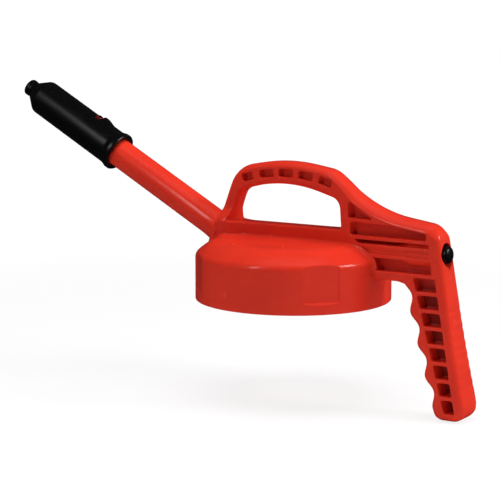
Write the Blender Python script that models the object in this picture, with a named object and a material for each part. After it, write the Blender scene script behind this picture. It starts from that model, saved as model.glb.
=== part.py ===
"""Screw-on pouring lid for a wide-mouth fluid drum.

A threaded cap carries a ribbed handle frame with a carry loop and a pistol grip, and a long spout
with a black twist nozzle. A sprung thumb button in the grip lets air into the drum.

Metres, +Z up. The origin is on the cap's axis, in the plane of its lower rim. +X points from the
spout to the grip, and the frame is symmetrical about the plane Y = 0.
"""

import math

import bmesh
import bpy
from mathutils import Matrix, Vector

# Clearance kept between neighbouring pieces
GAP = 0.0003

# Cap
LID_RADIUS = 0.0625
LID_WALL = 0.0028
LID_TOP = 0.0414
LID_RIM_ROUND = 0.0010
SHOULDER_HEIGHT = 0.0294
SHOULDER_SLOPE = math.radians(39.0)
SHOULDER_ROUND = 0.0080
TOP_ROUND = 0.0050
LID_STEPS = 56

# Screw thread inside the skirt
THREAD_PITCH = 0.00635
THREAD_TURNS = 1.5
THREAD_START = 0.0055
THREAD_DEPTH = 0.0016
THREAD_ROOT = 0.0030
THREAD_CREST = 0.0014

# Gasket under the shoulder
GASKET_WIDTH = 0.0032
GASKET_THICKNESS = 0.0023
GASKET_DROP = 0.0011
GASKET_SEAT = SHOULDER_HEIGHT - GASKET_DROP

# Flats cut into the skirt, each with a sloped ledge below it
FLAT_ANGLES = (-43.5, 43.5, 136.5, 223.5)
FLAT_HALF_ANGLE = math.radians(10.5)
FLAT_BOTTOM = 0.0062

# Handle frame, as a flat outline in X and Z; the front leg stands behind the spout's root
SPOUT_INSET = 0.0079
SPOUT_ROOT = SPOUT_INSET - LID_RADIUS
SLIM_HALF = 0.0065
ARM_HALF = 0.0087
GRIP_HALF = 0.0117
NOSE_HALF = 0.0117
RIM_ROUND = 0.0032
WEB_HALF = 0.0020
FLARE_START = 0.0208
FLARE_END = 0.0575
NOSE_SETBACK = 0.0074
NOSE_LENGTH = 0.0160
NOSE_FRONT = SPOUT_ROOT + NOSE_SETBACK
NOSE_REAR = NOSE_FRONT + NOSE_LENGTH
NOSE_TOP = 0.0570
NOSE_FULL = 0.0470
SPINE_TOP = 0.0474
LEG_LEAN = math.radians(20.6)
LEG_SETBACK = 0.0042
LEG_FRONT = SPOUT_ROOT + LEG_SETBACK
LEG_FRONT_HEIGHT = 0.0552
ARCH_CREST = 0.0892
ARCH_CENTRE = -0.0027
ARCH_SLOPE = 0.176
ARCH_REAR_SLOPE = 0.160
ARCH_ROUND = 0.115
ARCH_FRONT_ROUND = 0.0220
ARCH_REAR = 0.0306
ARCH_REAR_ROUND = 0.0180
ARM_BEND = (0.0600, 0.0601)
ARM_BEND_ROUND = 0.0790
ARM_REAR_HEIGHT = 0.0536
ARM_REAR_ROUND = 0.0115
VENT_DROP = 0.0172
VENT_HEIGHT = ARM_REAR_HEIGHT - VENT_DROP
ARM_UNDERSIDE = 0.0186
REAR_RAKE = 0.19
REAR_AT_VENT = 0.1081
REAR_HOLLOW = 0.0010
GRIP_HEEL_ROUND = 0.0090
GRIP_TOE_ROUND = 0.0060

# Finger grooves down the front of the grip
FINGER_COUNT = 4
FINGER_PITCH = 0.0200
FINGER_DEPTH = 0.0036
FINGER_LEAN = math.radians(16.0)
GRIP_DEPTH = 0.0264
FINGER_TOP = (REAR_AT_VENT - GRIP_DEPTH, 0.0197)
GRIP_TOE = 0.0071
GRIP_BOTTOM = FINGER_TOP[1] - FINGER_COUNT * FINGER_PITCH * math.cos(FINGER_LEAN) - GRIP_TOE

# Carry-loop window
LEG_DEPTH = 0.0072
WINDOW_FRONT_FOOT = LEG_FRONT + LEG_DEPTH
WINDOW_FRONT_LEAN = 0.0075
WINDOW_FRONT_HEAD = WINDOW_FRONT_FOOT + WINDOW_FRONT_LEAN
WINDOW_REAR_FOOT = 0.0385
WINDOW_REAR_HEAD = 0.0362
WINDOW_CREST = 0.0766
WINDOW_FRONT_SHOULDER = 0.0684
WINDOW_REAR_SHOULDER = 0.0657
WINDOW_FRONT_ROUND = 0.0075
WINDOW_REAR_ROUND = 0.0080
WINDOW_FOOT_ROUND = 0.0025
WINDOW_ROUND = 0.092

# Pockets between the ribs
RIB_HALF = 0.0010
POCKET_ROUND = 0.0012
FLANGE = 0.0044
RIB_RISES = (0.0180, 0.0076, 0.0031, -0.0030)
LOW_RIB_RISE = 0.0047
ARM_RIBS = (*(VENT_HEIGHT + rise for rise in RIB_RISES), ARM_UNDERSIDE + LOW_RIB_RISE)
POCKET_FRONT = (0.0470, 0.0488, 0.0548, 0.0633)
TRIANGLE_REACH = 0.0130
BEND_REACH = 0.0120
POCKET_SKEW = 0.0040
REAR_FLANGES = (0.0108, 0.0088, 0.0065)
POCKET_REAR = tuple(REAR_AT_VENT - flange for flange in REAR_FLANGES)
DUCT_RECESS = 0.0008
GRIP_FOOT = 0.0052
RUNG_COUNT = 8
GRIP_FLANGE = 0.0064
RUNG_FRONT = 0.0082
ARCH_POCKETS = 5
ARCH_POCKET_PITCH = 0.01435
ARCH_POCKET_LENGTH = 0.0104
ARCH_POCKET_HEIGHT = 0.0058
ARCH_MID = 0.0801
ARCH_MID_RADIUS = 0.110

# Spout: local Z runs out along the tube, local X is its upper side
SPOUT_RISE = math.radians(28.9)
TUBE_RADIUS = 0.0095
TUBE_BORE = 0.00635
TUBE_END = 0.1520
SOCKET_DEPTH = 0.0080
SOCKET_WALL = 0.0028
SOCKET_LENGTH = 0.0190
SPOUT_STEPS = 28

# O-rings between tube and sleeve
SLEEVE_PLAY = 0.0004
SEAL_SECTION = 0.0008
SEAL_SETBACKS = (0.0160, 0.0080)
SEAL_PLACES = tuple(TUBE_END - setback for setback in SEAL_SETBACKS)

# Twist nozzle
SLEEVE_WALL = 0.0023
SLEEVE_RADIUS = TUBE_RADIUS + SLEEVE_PLAY + SLEEVE_WALL
SLEEVE_OVERLAP = 0.0592
SLEEVE_REAR = TUBE_END - SLEEVE_OVERLAP
SLEEVE_BEYOND = 0.0139
SLEEVE_SHOULDER = TUBE_END + SLEEVE_BEYOND
CONE_LENGTH = 0.0097
SLEEVE_NECK = SLEEVE_SHOULDER + CONE_LENGTH
TIP_LENGTH = 0.0043
SLEEVE_TIP = SLEEVE_NECK + TIP_LENGTH
NECK_RADIUS = 0.0053
LIP_RADIUS = 0.0057
TIP_BORE = 0.0039
COLLAR_PROUD = 0.0005
COLLAR_RADIUS = SLEEVE_RADIUS + COLLAR_PROUD
COLLAR_LENGTH = 0.0130
WIPER_PLACE = 0.0044
WIPER_SECTION = 0.00075
NOZZLE_TRAVEL = 0.0080
NOZZLE_TURN = math.radians(90.0)
PEG_RADIUS = 0.0025
PEG_SETBACK = 0.0256
PEG_PLACE = SLEEVE_REAR + PEG_SETBACK
CAM_HEIGHT = 0.0016
CAM_LENGTH = 0.0130

# Shut-off plug in the end of the tube
SPIDER_LENGTH = 0.0060
SPIDER_RIM = 0.0012
SPIDER_ARM = 0.0014
HUB_RADIUS = 0.0027
PIN_RADIUS = 0.0015
PIN_HEAD_RADIUS = 0.0031
PIN_HEAD_LENGTH = 0.0068
PIN_SEAL_SECTION = 0.0006

# Air vent: local Z runs out of the grip's rear face, along +X
DUCT_RADIUS = 0.0022
CHAMBER_RADIUS = 0.0067
CHAMBER_WALL = 0.0016
RECESS_STEP = 0.0007
RECESS_RADIUS = CHAMBER_RADIUS + RECESS_STEP
RECESS_DEPTH = 0.0043
RECESS_FLOOR = REAR_AT_VENT - RECESS_DEPTH
CHAMBER_LENGTH = 0.0210
CHAMBER_INNER = RECESS_FLOOR - CHAMBER_LENGTH
NOTCH_LENGTH = 0.0024
BUSH_LENGTH = 0.0110
BUSH_INNER = RECESS_FLOOR - BUSH_LENGTH
BUSH_WALL = 0.0007
BUSH_WEB = 0.0026
BUSH_FLANGE = 0.0015
BUTTON_RADIUS = CHAMBER_RADIUS - 2 * GAP - BUSH_WALL
BUTTON_PROUD = 0.0028
BUTTON_TIP = REAR_AT_VENT + BUTTON_PROUD
BUTTON_DOME = 0.0026
BUTTON_LENGTH = 0.0086
STEM_RADIUS = 0.0017
VALVE_RADIUS = 0.0046
VALVE_THICKNESS = 0.0022
VALVE_SEAL_SECTION = 0.00095
SPRING_RADIUS = 0.0039
SPRING_WIRE = 0.0004
SPRING_TURNS = 4
VENT_STEPS = 20

# Colours: red moulding, black moulding, rubber and steel
RED = (0.62, 0.045, 0.012)
BLACK = (0.012, 0.012, 0.013)
RUBBER = (0.02, 0.02, 0.02)
STEEL = (0.60, 0.60, 0.62)


def clear_scene():
    """Remove every object, so that the model starts from nothing."""
    for old in list(bpy.data.objects):
        bpy.data.objects.remove(old, do_unlink=True)


def material(name, colour, roughness, metallic=0.0):
    """A Principled BSDF of one colour."""
    made = bpy.data.materials.new(name)
    made.use_nodes = True
    shader = made.node_tree.nodes["Principled BSDF"]
    shader.inputs["Base Color"].default_value = (*colour, 1.0)
    shader.inputs["Roughness"].default_value = roughness
    shader.inputs["Metallic"].default_value = metallic
    return made


def empty(name, place, turn=0.0):
    """An empty at a place, turned about Y, that carries the pieces of one axis."""
    made = bpy.data.objects.new(name, None)
    made.location = place
    made.rotation_euler = (0.0, turn, 0.0)
    bpy.context.collection.objects.link(made)
    return made


def finish(name, bm, surface=None, parent=None):
    """Turn a bmesh into an object of its own, with its faces pointing out."""
    bmesh.ops.recalc_face_normals(bm, faces=bm.faces)
    mesh = bpy.data.meshes.new(name)
    bm.to_mesh(mesh)
    bm.free()
    mesh.shade_smooth()
    mesh.set_sharp_from_angle(angle=math.radians(32.0))
    made = bpy.data.objects.new(name, mesh)
    if surface is not None:
        mesh.materials.append(surface)
    made.parent = parent
    bpy.context.collection.objects.link(made)
    return made


def combine(target, other, operation="DIFFERENCE"):
    """Cut another object out of the target, or join it on, and hide it as a cutter."""
    other.hide_render = True
    other.display_type = "WIRE"
    modifier = target.modifiers.new(other.name, "BOOLEAN")
    modifier.operation = operation
    modifier.solver = "EXACT"
    modifier.object = other


def polar(radius, angle, height):
    """The point at a radius and angle about local Z."""
    return (radius * math.cos(angle), radius * math.sin(angle), height)


def turned(name, profile, steps, surface=None, parent=None, start=0.0):
    """Spin a closed profile of (radius, height) points about local Z, from a starting angle."""
    bm = bmesh.new()
    verts = [bm.verts.new(polar(radius, start, height)) for radius, height in profile]
    edges = [bm.edges.new((verts[i - 1], verts[i])) for i in range(len(verts))]
    bmesh.ops.spin(bm, geom=verts + edges, cent=(0, 0, 0), axis=(0, 0, 1), angle=math.tau, steps=steps)
    bmesh.ops.remove_doubles(bm, verts=bm.verts, dist=1e-6)
    on_axis = [edge for edge in bm.edges if not edge.link_faces]
    bmesh.ops.delete(bm, geom=on_axis, context="EDGES")
    return finish(name, bm, surface, parent)


def rod(name, radius, low, high, steps, parent, start=0.0):
    """A plain cylinder between two heights on local Z, for a cut or a joined boss."""
    profile = [(0, low), (radius, low), (radius, high), (0, high)]
    return turned(name, profile, steps, None, parent, start)


def ring(name, radius, section, height, steps, surface, parent):
    """An O-ring: a circle of the given section carried round local Z."""
    profile = []
    for k in range(6):
        angle = math.tau * k / 6
        profile.append((radius + section * math.cos(angle), height + section * math.sin(angle)))
    return turned(name, profile, steps, surface, parent)


def swept(name, sections, surface=None, parent=None):
    """Join a row of equal closed sections with faces and close both ends."""
    bm = bmesh.new()
    rows = [[bm.verts.new(point) for point in section] for section in sections]
    count = len(rows[0])
    for first, second in zip(rows, rows[1:]):
        for i in range(count):
            j = (i + 1) % count
            bm.faces.new((first[i], first[j], second[j], second[i]))
    bm.faces.new(rows[0])
    bm.faces.new(rows[-1])
    return finish(name, bm, surface, parent)


def prism(name, outline, low, high):
    """Carry an outline of (x, z) points along Y."""
    sections = [[(x, y, z) for x, z in outline] for y in (low, high)]
    return swept(name, sections)


def rounded(corners, step=math.radians(15.0)):
    """Replace each corner (x, z, radius) of a closed outline by an arc of that radius."""
    points = []
    for i, (x, z, radius) in enumerate(corners):
        here = Vector((x, z))
        before = (Vector(corners[i - 1][:2]) - here).normalized()
        after = (Vector(corners[(i + 1) % len(corners)][:2]) - here).normalized()
        if radius == 0:
            points.append(here)
            continue
        half = before.angle(after) / 2
        centre = here + (before + after).normalized() * radius / math.sin(half)
        arm = here + before * radius / math.tan(half) - centre
        sweep = math.pi - 2 * half
        if before.x * after.y - before.y * after.x < 0:
            sweep = -sweep
        steps = max(1, math.ceil(abs(sweep) / step))
        for k in range(steps + 1):
            angle = -sweep * k / steps
            turn = Matrix.Rotation(angle, 2)
            points.append(centre + turn @ arm)
    return points


def rear_x(height):
    """X of the grip's raked, slightly hollow rear face at a height."""
    down = VENT_HEIGHT - height
    share = min(1.0, max(0.0, down / (VENT_HEIGHT - GRIP_BOTTOM)))
    return REAR_AT_VENT + down * REAR_RAKE - REAR_HOLLOW * math.sin(math.pi * share)


def shoulder_z(radius, drop=0.0):
    """Height of the cap's sloped shoulder at a radius, lowered square to its face by drop."""
    rise = (LID_RADIUS - radius) * math.tan(SHOULDER_SLOPE)
    return SHOULDER_HEIGHT + rise - drop / math.cos(SHOULDER_SLOPE)


def shoulder_radius(height, drop=0.0):
    """Radius of the cap's sloped shoulder at a height."""
    return LID_RADIUS - (height - shoulder_z(LID_RADIUS, drop)) / math.tan(SHOULDER_SLOPE)


def cap_outside(grow=0.0):
    """Outer profile of the cap as a full solid, from its rim to its axis, grown by a clearance."""
    side = LID_RADIUS + grow
    top = LID_TOP + grow
    brow = shoulder_radius(LID_TOP) + grow * math.tan(SHOULDER_SLOPE / 2)
    corner = SHOULDER_HEIGHT + grow * math.tan(math.pi / 4 - SHOULDER_SLOPE / 2)
    corners = [
        (side, -grow, LID_RIM_ROUND),
        (side, corner, SHOULDER_ROUND + grow),
        (brow, top, TOP_ROUND + grow),
        (0.0, top, 0.0),
        (0.0, -grow, 0.0),
    ]
    return [(point.x, point.y) for point in rounded(corners)]


def make_cap(red):
    """Cap: turned shell with flats on its skirt and a screw thread inside."""
    skirt = LID_RADIUS - LID_WALL
    seat = skirt - GASKET_WIDTH - 2 * GAP
    under = LID_TOP - LID_WALL
    inside = [
        (0.0, under),
        (shoulder_radius(under, LID_WALL), under),
        (seat, shoulder_z(seat, LID_WALL)),
        (seat, GASKET_SEAT),
        (skirt, GASKET_SEAT),
        (skirt, LID_RIM_ROUND / 2),
        (skirt + LID_RIM_ROUND / 2, 0.0),
    ]
    cap = turned("lid_cap", cap_outside()[:-1] + inside, LID_STEPS, red)

    flat = LID_RADIUS * math.cos(FLAT_HALF_ANGLE)
    beyond = LID_RADIUS + LID_WALL
    side = LID_RADIUS * math.sin(FLAT_HALF_ANGLE) + LID_WALL
    section = [
        (flat, FLAT_BOTTOM + LID_RADIUS - flat),
        (flat, 2 * LID_TOP),
        (beyond, 2 * LID_TOP),
        (beyond, FLAT_BOTTOM + LID_RADIUS - beyond),
    ]
    for index, degrees in enumerate(FLAT_ANGLES):
        cutter = prism(f"flat_{index}", section, -side, side)
        cutter.rotation_euler = (0.0, 0.0, math.radians(degrees))
        combine(cap, cutter)

    rows = []
    count = int(LID_STEPS * THREAD_TURNS / 2)
    for k in range(count + 1):
        angle = math.tau * THREAD_TURNS * (k + 0.25) / count
        middle = THREAD_START + THREAD_PITCH * angle / math.tau
        taper = min(1.0, 0.25 + 6.0 * min(k, count - k) / count)
        crest = skirt - THREAD_DEPTH * taper
        rows.append([
            polar(skirt + LID_WALL / 3, angle, middle - THREAD_ROOT / 2),
            polar(crest, angle, middle - THREAD_CREST / 2),
            polar(crest, angle, middle + THREAD_CREST / 2),
            polar(skirt + LID_WALL / 3, angle, middle + THREAD_ROOT / 2),
        ])
    combine(cap, swept("thread_ridge", rows), "UNION")
    return cap


def fit_socket(cap, spout):
    """Add the spout's socket inside the cap and bore it."""
    wall = TUBE_RADIUS + GAP + SOCKET_WALL
    half_step = math.pi / SPOUT_STEPS
    boss = rod("socket_boss", wall, -SOCKET_LENGTH, SOCKET_LENGTH, SPOUT_STEPS, spout, half_step / 2)
    combine(boss, turned("socket_limit", cap_outside(-GAP), LID_STEPS), "INTERSECT")
    combine(cap, boss, "UNION")
    bore = [
        (0.0, -2 * SOCKET_LENGTH),
        (TUBE_BORE, -2 * SOCKET_LENGTH),
        (TUBE_BORE, -SOCKET_DEPTH - GAP),
        (TUBE_RADIUS + GAP, -SOCKET_DEPTH - GAP),
        (TUBE_RADIUS + GAP, 2 * SOCKET_LENGTH),
        (0.0, 2 * SOCKET_LENGTH),
    ]
    combine(cap, turned("socket_bore", bore, SPOUT_STEPS, None, spout, half_step))


def make_gasket(rubber):
    """Flat gasket that the drum's neck presses against."""
    outer = LID_RADIUS - LID_WALL - GAP
    top = GASKET_SEAT - GAP
    profile = [
        (outer, top - GASKET_THICKNESS),
        (outer, top),
        (outer - GASKET_WIDTH, top),
        (outer - GASKET_WIDTH, top - GASKET_THICKNESS),
    ]
    turned("lid_gasket", profile, LID_STEPS, rubber)


def grip_front():
    """Front edge of the grip from toe to arm: raised-cosine finger grooves on a leaning line."""
    along = Vector((math.sin(FINGER_LEAN), -math.cos(FINGER_LEAN)))
    inward = Vector((-along.y, along.x))
    points = []
    for k in range(8 * FINGER_COUNT, 0, -1):
        place = k / 8
        depth = FINGER_DEPTH * math.sin(math.pi * place) ** 2
        points.append(Vector(FINGER_TOP) + along * FINGER_PITCH * place + inward * depth)
    return points


def leg_x(height):
    """X of the front leg's outer face at a height."""
    return LEG_FRONT + (height - LEG_FRONT_HEIGHT) * math.tan(LEG_LEAN)


def frame_outline():
    """Outer outline of the handle frame, counter-clockwise seen with +Z up and +X to the right."""
    foot = SHOULDER_HEIGHT
    front = leg_x(ARCH_CREST)
    crest_drop = (ARCH_CENTRE - front) * ARCH_SLOPE
    rear_arch = ARCH_CREST - (ARCH_REAR - ARCH_CENTRE) * ARCH_REAR_SLOPE
    palm = [GRIP_BOTTOM + (VENT_HEIGHT - GRIP_BOTTOM) * k / 6 for k in range(1, 6)]
    toe = grip_front()[0].x + (grip_front()[0].y - GRIP_BOTTOM) * math.tan(FINGER_LEAN)
    points = [
        Vector((leg_x(foot), foot)),
        Vector((0.0, ARM_UNDERSIDE)),
        Vector((FINGER_TOP[0] - FINGER_PITCH / 6, ARM_UNDERSIDE)),
    ]
    points.extend(reversed(grip_front()))
    corners = [
        (points[-1].x, points[-1].y, 0.0),
        (toe, GRIP_BOTTOM, GRIP_TOE_ROUND),
        (rear_x(GRIP_BOTTOM), GRIP_BOTTOM, GRIP_HEEL_ROUND),
        *[(rear_x(z), z, 0.0) for z in palm],
        (rear_x(ARM_REAR_HEIGHT), ARM_REAR_HEIGHT, ARM_REAR_ROUND),
        (*ARM_BEND, ARM_BEND_ROUND),
        (ARCH_REAR, rear_arch, ARCH_REAR_ROUND),
        (ARCH_CENTRE, ARCH_CREST, ARCH_ROUND),
        (leg_x(ARCH_CREST - crest_drop), ARCH_CREST - crest_drop, ARCH_FRONT_ROUND),
        (leg_x(foot), foot, 0.0),
    ]
    points.extend(rounded(corners, math.radians(9.0))[1:-1])
    return points


def window_outline():
    """Outline of the carry loop's window."""
    corners = [
        (WINDOW_FRONT_FOOT, SPINE_TOP, WINDOW_FOOT_ROUND),
        (WINDOW_REAR_FOOT, SPINE_TOP, WINDOW_FOOT_ROUND),
        (WINDOW_REAR_HEAD, WINDOW_REAR_SHOULDER, WINDOW_REAR_ROUND),
        (ARCH_CENTRE, WINDOW_CREST, WINDOW_ROUND),
        (WINDOW_FRONT_HEAD, WINDOW_FRONT_SHOULDER, WINDOW_FRONT_ROUND),
    ]
    return rounded(corners)


def half_thickness(x, z):
    """Half of the frame's thickness: slim at the loop, wider at the spout, the arm and down the grip."""
    arm = min(1.0, max(0.0, (x - FLARE_START) / (FLARE_END - FLARE_START)))
    nose = min(1.0, max(0.0, (NOSE_REAR - x) / (NOSE_REAR - NOSE_FRONT)))
    low = min(1.0, max(0.0, (NOSE_TOP - z) / (NOSE_TOP - NOSE_FULL)))
    down = min(1.0, max(0.0, (VENT_HEIGHT - z) / (VENT_HEIGHT - GRIP_BOTTOM)))
    wide = ARM_HALF + (GRIP_HALF - ARM_HALF) * down
    return SLIM_HALF + (wide - SLIM_HALF) * arm + (NOSE_HALF - SLIM_HALF) * nose * low


def rim_loop(bm, points):
    """Rows of vertices that carry a rounded rim along a closed outline, inset towards the material."""
    count = len(points)
    normals = []
    for i in range(count):
        run = points[(i + 1) % count] - points[i - 1]
        normals.append(Vector((run.y, -run.x)).normalized())
    rows = []
    for side in (-1, 1):
        for k in range(3):
            angle = math.pi / 2 * (k / 2 if side > 0 else 1 - k / 2)
            inset = RIM_ROUND * (1 - math.cos(angle))
            y = side * (SLIM_HALF - RIM_ROUND + RIM_ROUND * math.sin(angle))
            row = []
            for point, normal in zip(points, normals):
                place = point - normal * inset
                row.append(bm.verts.new((place.x, y, place.y)))
            rows.append(row)
    for first, second in zip(rows, rows[1:]):
        for i in range(count):
            j = (i + 1) % count
            bm.faces.new((first[i], first[j], second[j], second[i]))
    return rows[0], rows[-1]


def pocket(corners, low, high):
    """A pocket cutter: a rounded outline carried between two depths."""
    return [[(p.x, y, p.y) for p in rounded(corners, math.radians(45.0))] for y in (low, high)]


def arm_top(x):
    """Height of the arm's upper edge, by its straight runs either side of the bend."""
    rear_arch = ARCH_CREST - (ARCH_REAR - ARCH_CENTRE) * ARCH_REAR_SLOPE
    if x < ARM_BEND[0]:
        share = (x - ARCH_REAR) / (ARM_BEND[0] - ARCH_REAR)
        return rear_arch + (ARM_BEND[1] - rear_arch) * share
    share = (x - ARM_BEND[0]) / (rear_x(ARM_REAR_HEIGHT) - ARM_BEND[0])
    return ARM_BEND[1] + (ARM_REAR_HEIGHT - ARM_BEND[1]) * share


def pocket_corners():
    """Corners of every pocket on one side of the frame."""
    pockets = []
    r = POCKET_ROUND
    first, second, third, fourth, fifth = ARM_RIBS
    tip = POCKET_FRONT[0] + TRIANGLE_REACH
    pockets.append([
        (POCKET_FRONT[0], first + RIB_HALF, r),
        (tip, first + RIB_HALF, r),
        (POCKET_FRONT[0], arm_top(POCKET_FRONT[0]) - FLANGE, r),
    ])
    bend = ARM_BEND[0] + BEND_REACH
    pockets.append([
        (POCKET_FRONT[1], second + RIB_HALF, r),
        (POCKET_REAR[0], second + RIB_HALF, r),
        (POCKET_REAR[0], arm_top(POCKET_REAR[0]) - FLANGE, r),
        (bend, min(first - RIB_HALF, arm_top(bend) - FLANGE), r),
        (POCKET_FRONT[1], first - RIB_HALF, r),
    ])
    pockets.append([
        (POCKET_FRONT[2], third + RIB_HALF, r / 2),
        (POCKET_REAR[1], third + RIB_HALF, r / 2),
        (POCKET_REAR[1], second - RIB_HALF, r / 2),
        (POCKET_FRONT[2] - POCKET_SKEW, second - RIB_HALF, r / 2),
    ])
    pockets.append([
        (POCKET_FRONT[3] + POCKET_SKEW, fifth + RIB_HALF, r),
        (POCKET_REAR[2], fifth + RIB_HALF, r),
        (POCKET_REAR[2] - POCKET_SKEW / 4, fourth - RIB_HALF, r),
        (POCKET_FRONT[3], fourth - RIB_HALF, r),
    ])
    top = fifth - RIB_HALF
    pitch = (fifth + RIB_HALF - GRIP_BOTTOM - GRIP_FOOT) / RUNG_COUNT
    for k in range(RUNG_COUNT):
        low = top - pitch + 2 * RIB_HALF
        quad = []
        for z in (low, top):
            front = FINGER_TOP[0] + (FINGER_TOP[1] - z) * math.tan(FINGER_LEAN) + RUNG_FRONT
            quad.append([(front, z, r), (rear_x(z) - GRIP_FLANGE, z, r)])
        pockets.append([quad[0][0], quad[0][1], quad[1][1], quad[1][0]])
        top -= pitch
    for k in range(ARCH_POCKETS):
        offset = (k - (ARCH_POCKETS - 1) / 2) * ARCH_POCKET_PITCH
        angle = offset / ARCH_MID_RADIUS
        centre = Vector((ARCH_CENTRE, ARCH_MID - ARCH_MID_RADIUS))
        turn = Matrix.Rotation(-angle, 2)
        quad = []
        for u, v in ((-1, -1), (1, -1), (1, 1), (-1, 1)):
            corner = Vector((u * ARCH_POCKET_LENGTH / 2, ARCH_MID_RADIUS + v * ARCH_POCKET_HEIGHT / 2))
            place = centre + turn @ corner
            quad.append((place.x, place.y, r))
        pockets.append(quad)
    return pockets


def make_frame(red):
    """Handle frame: a rounded plate with pockets on both sides, fitted over cap, spout and vent."""
    bm = bmesh.new()
    outer = rim_loop(bm, frame_outline())
    inner = rim_loop(bm, list(reversed(window_outline())))
    for side in (0, 1):
        edges = []
        for loop in (outer[side], inner[side]):
            edges.extend(bm.edges.get((loop[i - 1], loop[i])) for i in range(len(loop)))
        bmesh.ops.triangle_fill(bm, use_beauty=True, use_dissolve=False, edges=edges)
    for place, normal in (
        ((FLARE_START, 0, 0), (1, 0, 0)),
        ((FLARE_END, 0, 0), (1, 0, 0)),
        ((NOSE_REAR, 0, 0), (1, 0, 0)),
        ((NOSE_FRONT, 0, 0), (1, 0, 0)),
        ((0, 0, NOSE_TOP), (0, 0, 1)),
        ((0, 0, NOSE_FULL), (0, 0, 1)),
        ((0, 0, VENT_HEIGHT), (0, 0, 1)),
    ):
        geometry = bm.verts[:] + bm.edges[:] + bm.faces[:]
        bmesh.ops.bisect_plane(bm, geom=geometry, plane_co=place, plane_no=normal, dist=1e-6)
    for vert in bm.verts:
        extra = half_thickness(vert.co.x, vert.co.z) - SLIM_HALF
        vert.co.y += math.copysign(extra, vert.co.y)
    frame = finish("handle_frame", bm, red)

    for index, corners in enumerate(pocket_corners()):
        for side in (-1, 1):
            rows = pocket(corners, side * WEB_HALF, side * 2 * GRIP_HALF)
            combine(frame, swept(f"pocket_{index}_{side}", rows))
    return frame


def vent_bore(vent):
    """Cutter for the vent: button recess, valve chamber and the duct into the cap."""
    profile = [
        (0.0, LID_RADIUS / 2),
        (DUCT_RADIUS, LID_RADIUS / 2),
        (DUCT_RADIUS, CHAMBER_INNER),
        (CHAMBER_RADIUS, CHAMBER_INNER),
        (CHAMBER_RADIUS, RECESS_FLOOR),
        (RECESS_RADIUS, RECESS_FLOOR),
        (RECESS_RADIUS, BUTTON_TIP + RECESS_RADIUS),
        (0.0, BUTTON_TIP + RECESS_RADIUS),
    ]
    return turned("vent_bore", profile, VENT_STEPS, None, vent, math.pi / VENT_STEPS)


def fit_frame(frame, spout, vent, bore):
    """Clear the frame round the cap and the tube, and bore it for the vent."""
    duct_top = ARM_RIBS[2] - RIB_HALF
    duct_low = ARM_RIBS[3] + RIB_HALF
    housing = rod("vent_housing", CHAMBER_RADIUS + CHAMBER_WALL, CHAMBER_INNER - CHAMBER_WALL,
                  RECESS_FLOOR - GAP, VENT_STEPS, vent)
    combine(frame, housing, "UNION")
    for side in (-1, 1):
        outline = [(POCKET_FRONT[2], duct_low), (POCKET_REAR[1], duct_low),
                   (POCKET_REAR[1], duct_top), (POCKET_FRONT[2], duct_top)]
        face = ARM_HALF - DUCT_RECESS
        combine(frame, prism(f"duct_face_{side}", outline, side * face, side * 2 * GRIP_HALF))
    combine(frame, turned("cap_clearance", cap_outside(GAP), LID_STEPS))
    tube = TUBE_RADIUS + GAP
    reach = 2 * SOCKET_LENGTH
    half_step = math.pi / SPOUT_STEPS
    combine(frame, rod("tube_clearance", tube, -SOCKET_LENGTH, reach, SPOUT_STEPS, spout, half_step))
    combine(frame, bore)
    low = VENT_HEIGHT - RECESS_RADIUS
    notch = [
        [(RECESS_FLOOR + BUSH_FLANGE, -NOTCH_LENGTH, low + NOTCH_LENGTH / 2),
         (RECESS_FLOOR + BUSH_FLANGE, NOTCH_LENGTH, low + NOTCH_LENGTH / 2),
         (RECESS_FLOOR + BUSH_FLANGE, 0.0, low)],
        [(BUTTON_TIP, -NOTCH_LENGTH, low + NOTCH_LENGTH / 2),
         (BUTTON_TIP, NOTCH_LENGTH, low + NOTCH_LENGTH / 2),
         (BUTTON_TIP, 0.0, low - NOTCH_LENGTH)],
    ]
    combine(frame, swept("air_notch", notch))


def grooved(radius, floor, place, half):
    """Profile points of a square groove in a turned face, from its far side to its near side."""
    return [(radius, place + half), (floor, place + half), (floor, place - half), (radius, place - half)]


def make_tube(red, rubber, spout):
    """Spout tube with its two O-rings and the peg that guides the nozzle."""
    centre = TUBE_RADIUS + SLEEVE_PLAY - GAP - SEAL_SECTION
    floor = centre - SEAL_SECTION - GAP
    profile = [(TUBE_BORE, -SOCKET_DEPTH), (TUBE_BORE, TUBE_END), (TUBE_RADIUS, TUBE_END)]
    for place in reversed(SEAL_PLACES):
        profile.extend(grooved(TUBE_RADIUS, floor, place, SEAL_SECTION + GAP))
    profile.append((TUBE_RADIUS, -SOCKET_DEPTH))
    tube = turned("spout_tube", profile, SPOUT_STEPS, red, spout)
    for name, place in zip(("spout_seal_rear", "spout_seal_front"), SEAL_PLACES):
        ring(name, centre, SEAL_SECTION, place, SPOUT_STEPS, rubber, spout)

    seat = (TUBE_BORE + TUBE_RADIUS) / 2 - GAP
    top = SLEEVE_RADIUS + CAM_HEIGHT - GAP
    edge = PEG_RADIUS / 5
    foot = seat + GAP
    shape = [
        (0.0, foot),
        (PEG_RADIUS, foot),
        (PEG_RADIUS, top - edge),
        (PEG_RADIUS - edge, top),
        (0.0, top),
    ]
    peg = turned("spout_guide_peg", shape, 16, red, spout)
    hole = rod("peg_hole", PEG_RADIUS + GAP, seat, TUBE_RADIUS + PEG_RADIUS, 16, spout, math.pi / 16)
    for piece in (peg, hole):
        piece.location = (0.0, 0.0, PEG_PLACE)
        piece.rotation_euler = (0.0, math.pi / 2, 0.0)
    combine(tube, hole)


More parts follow.
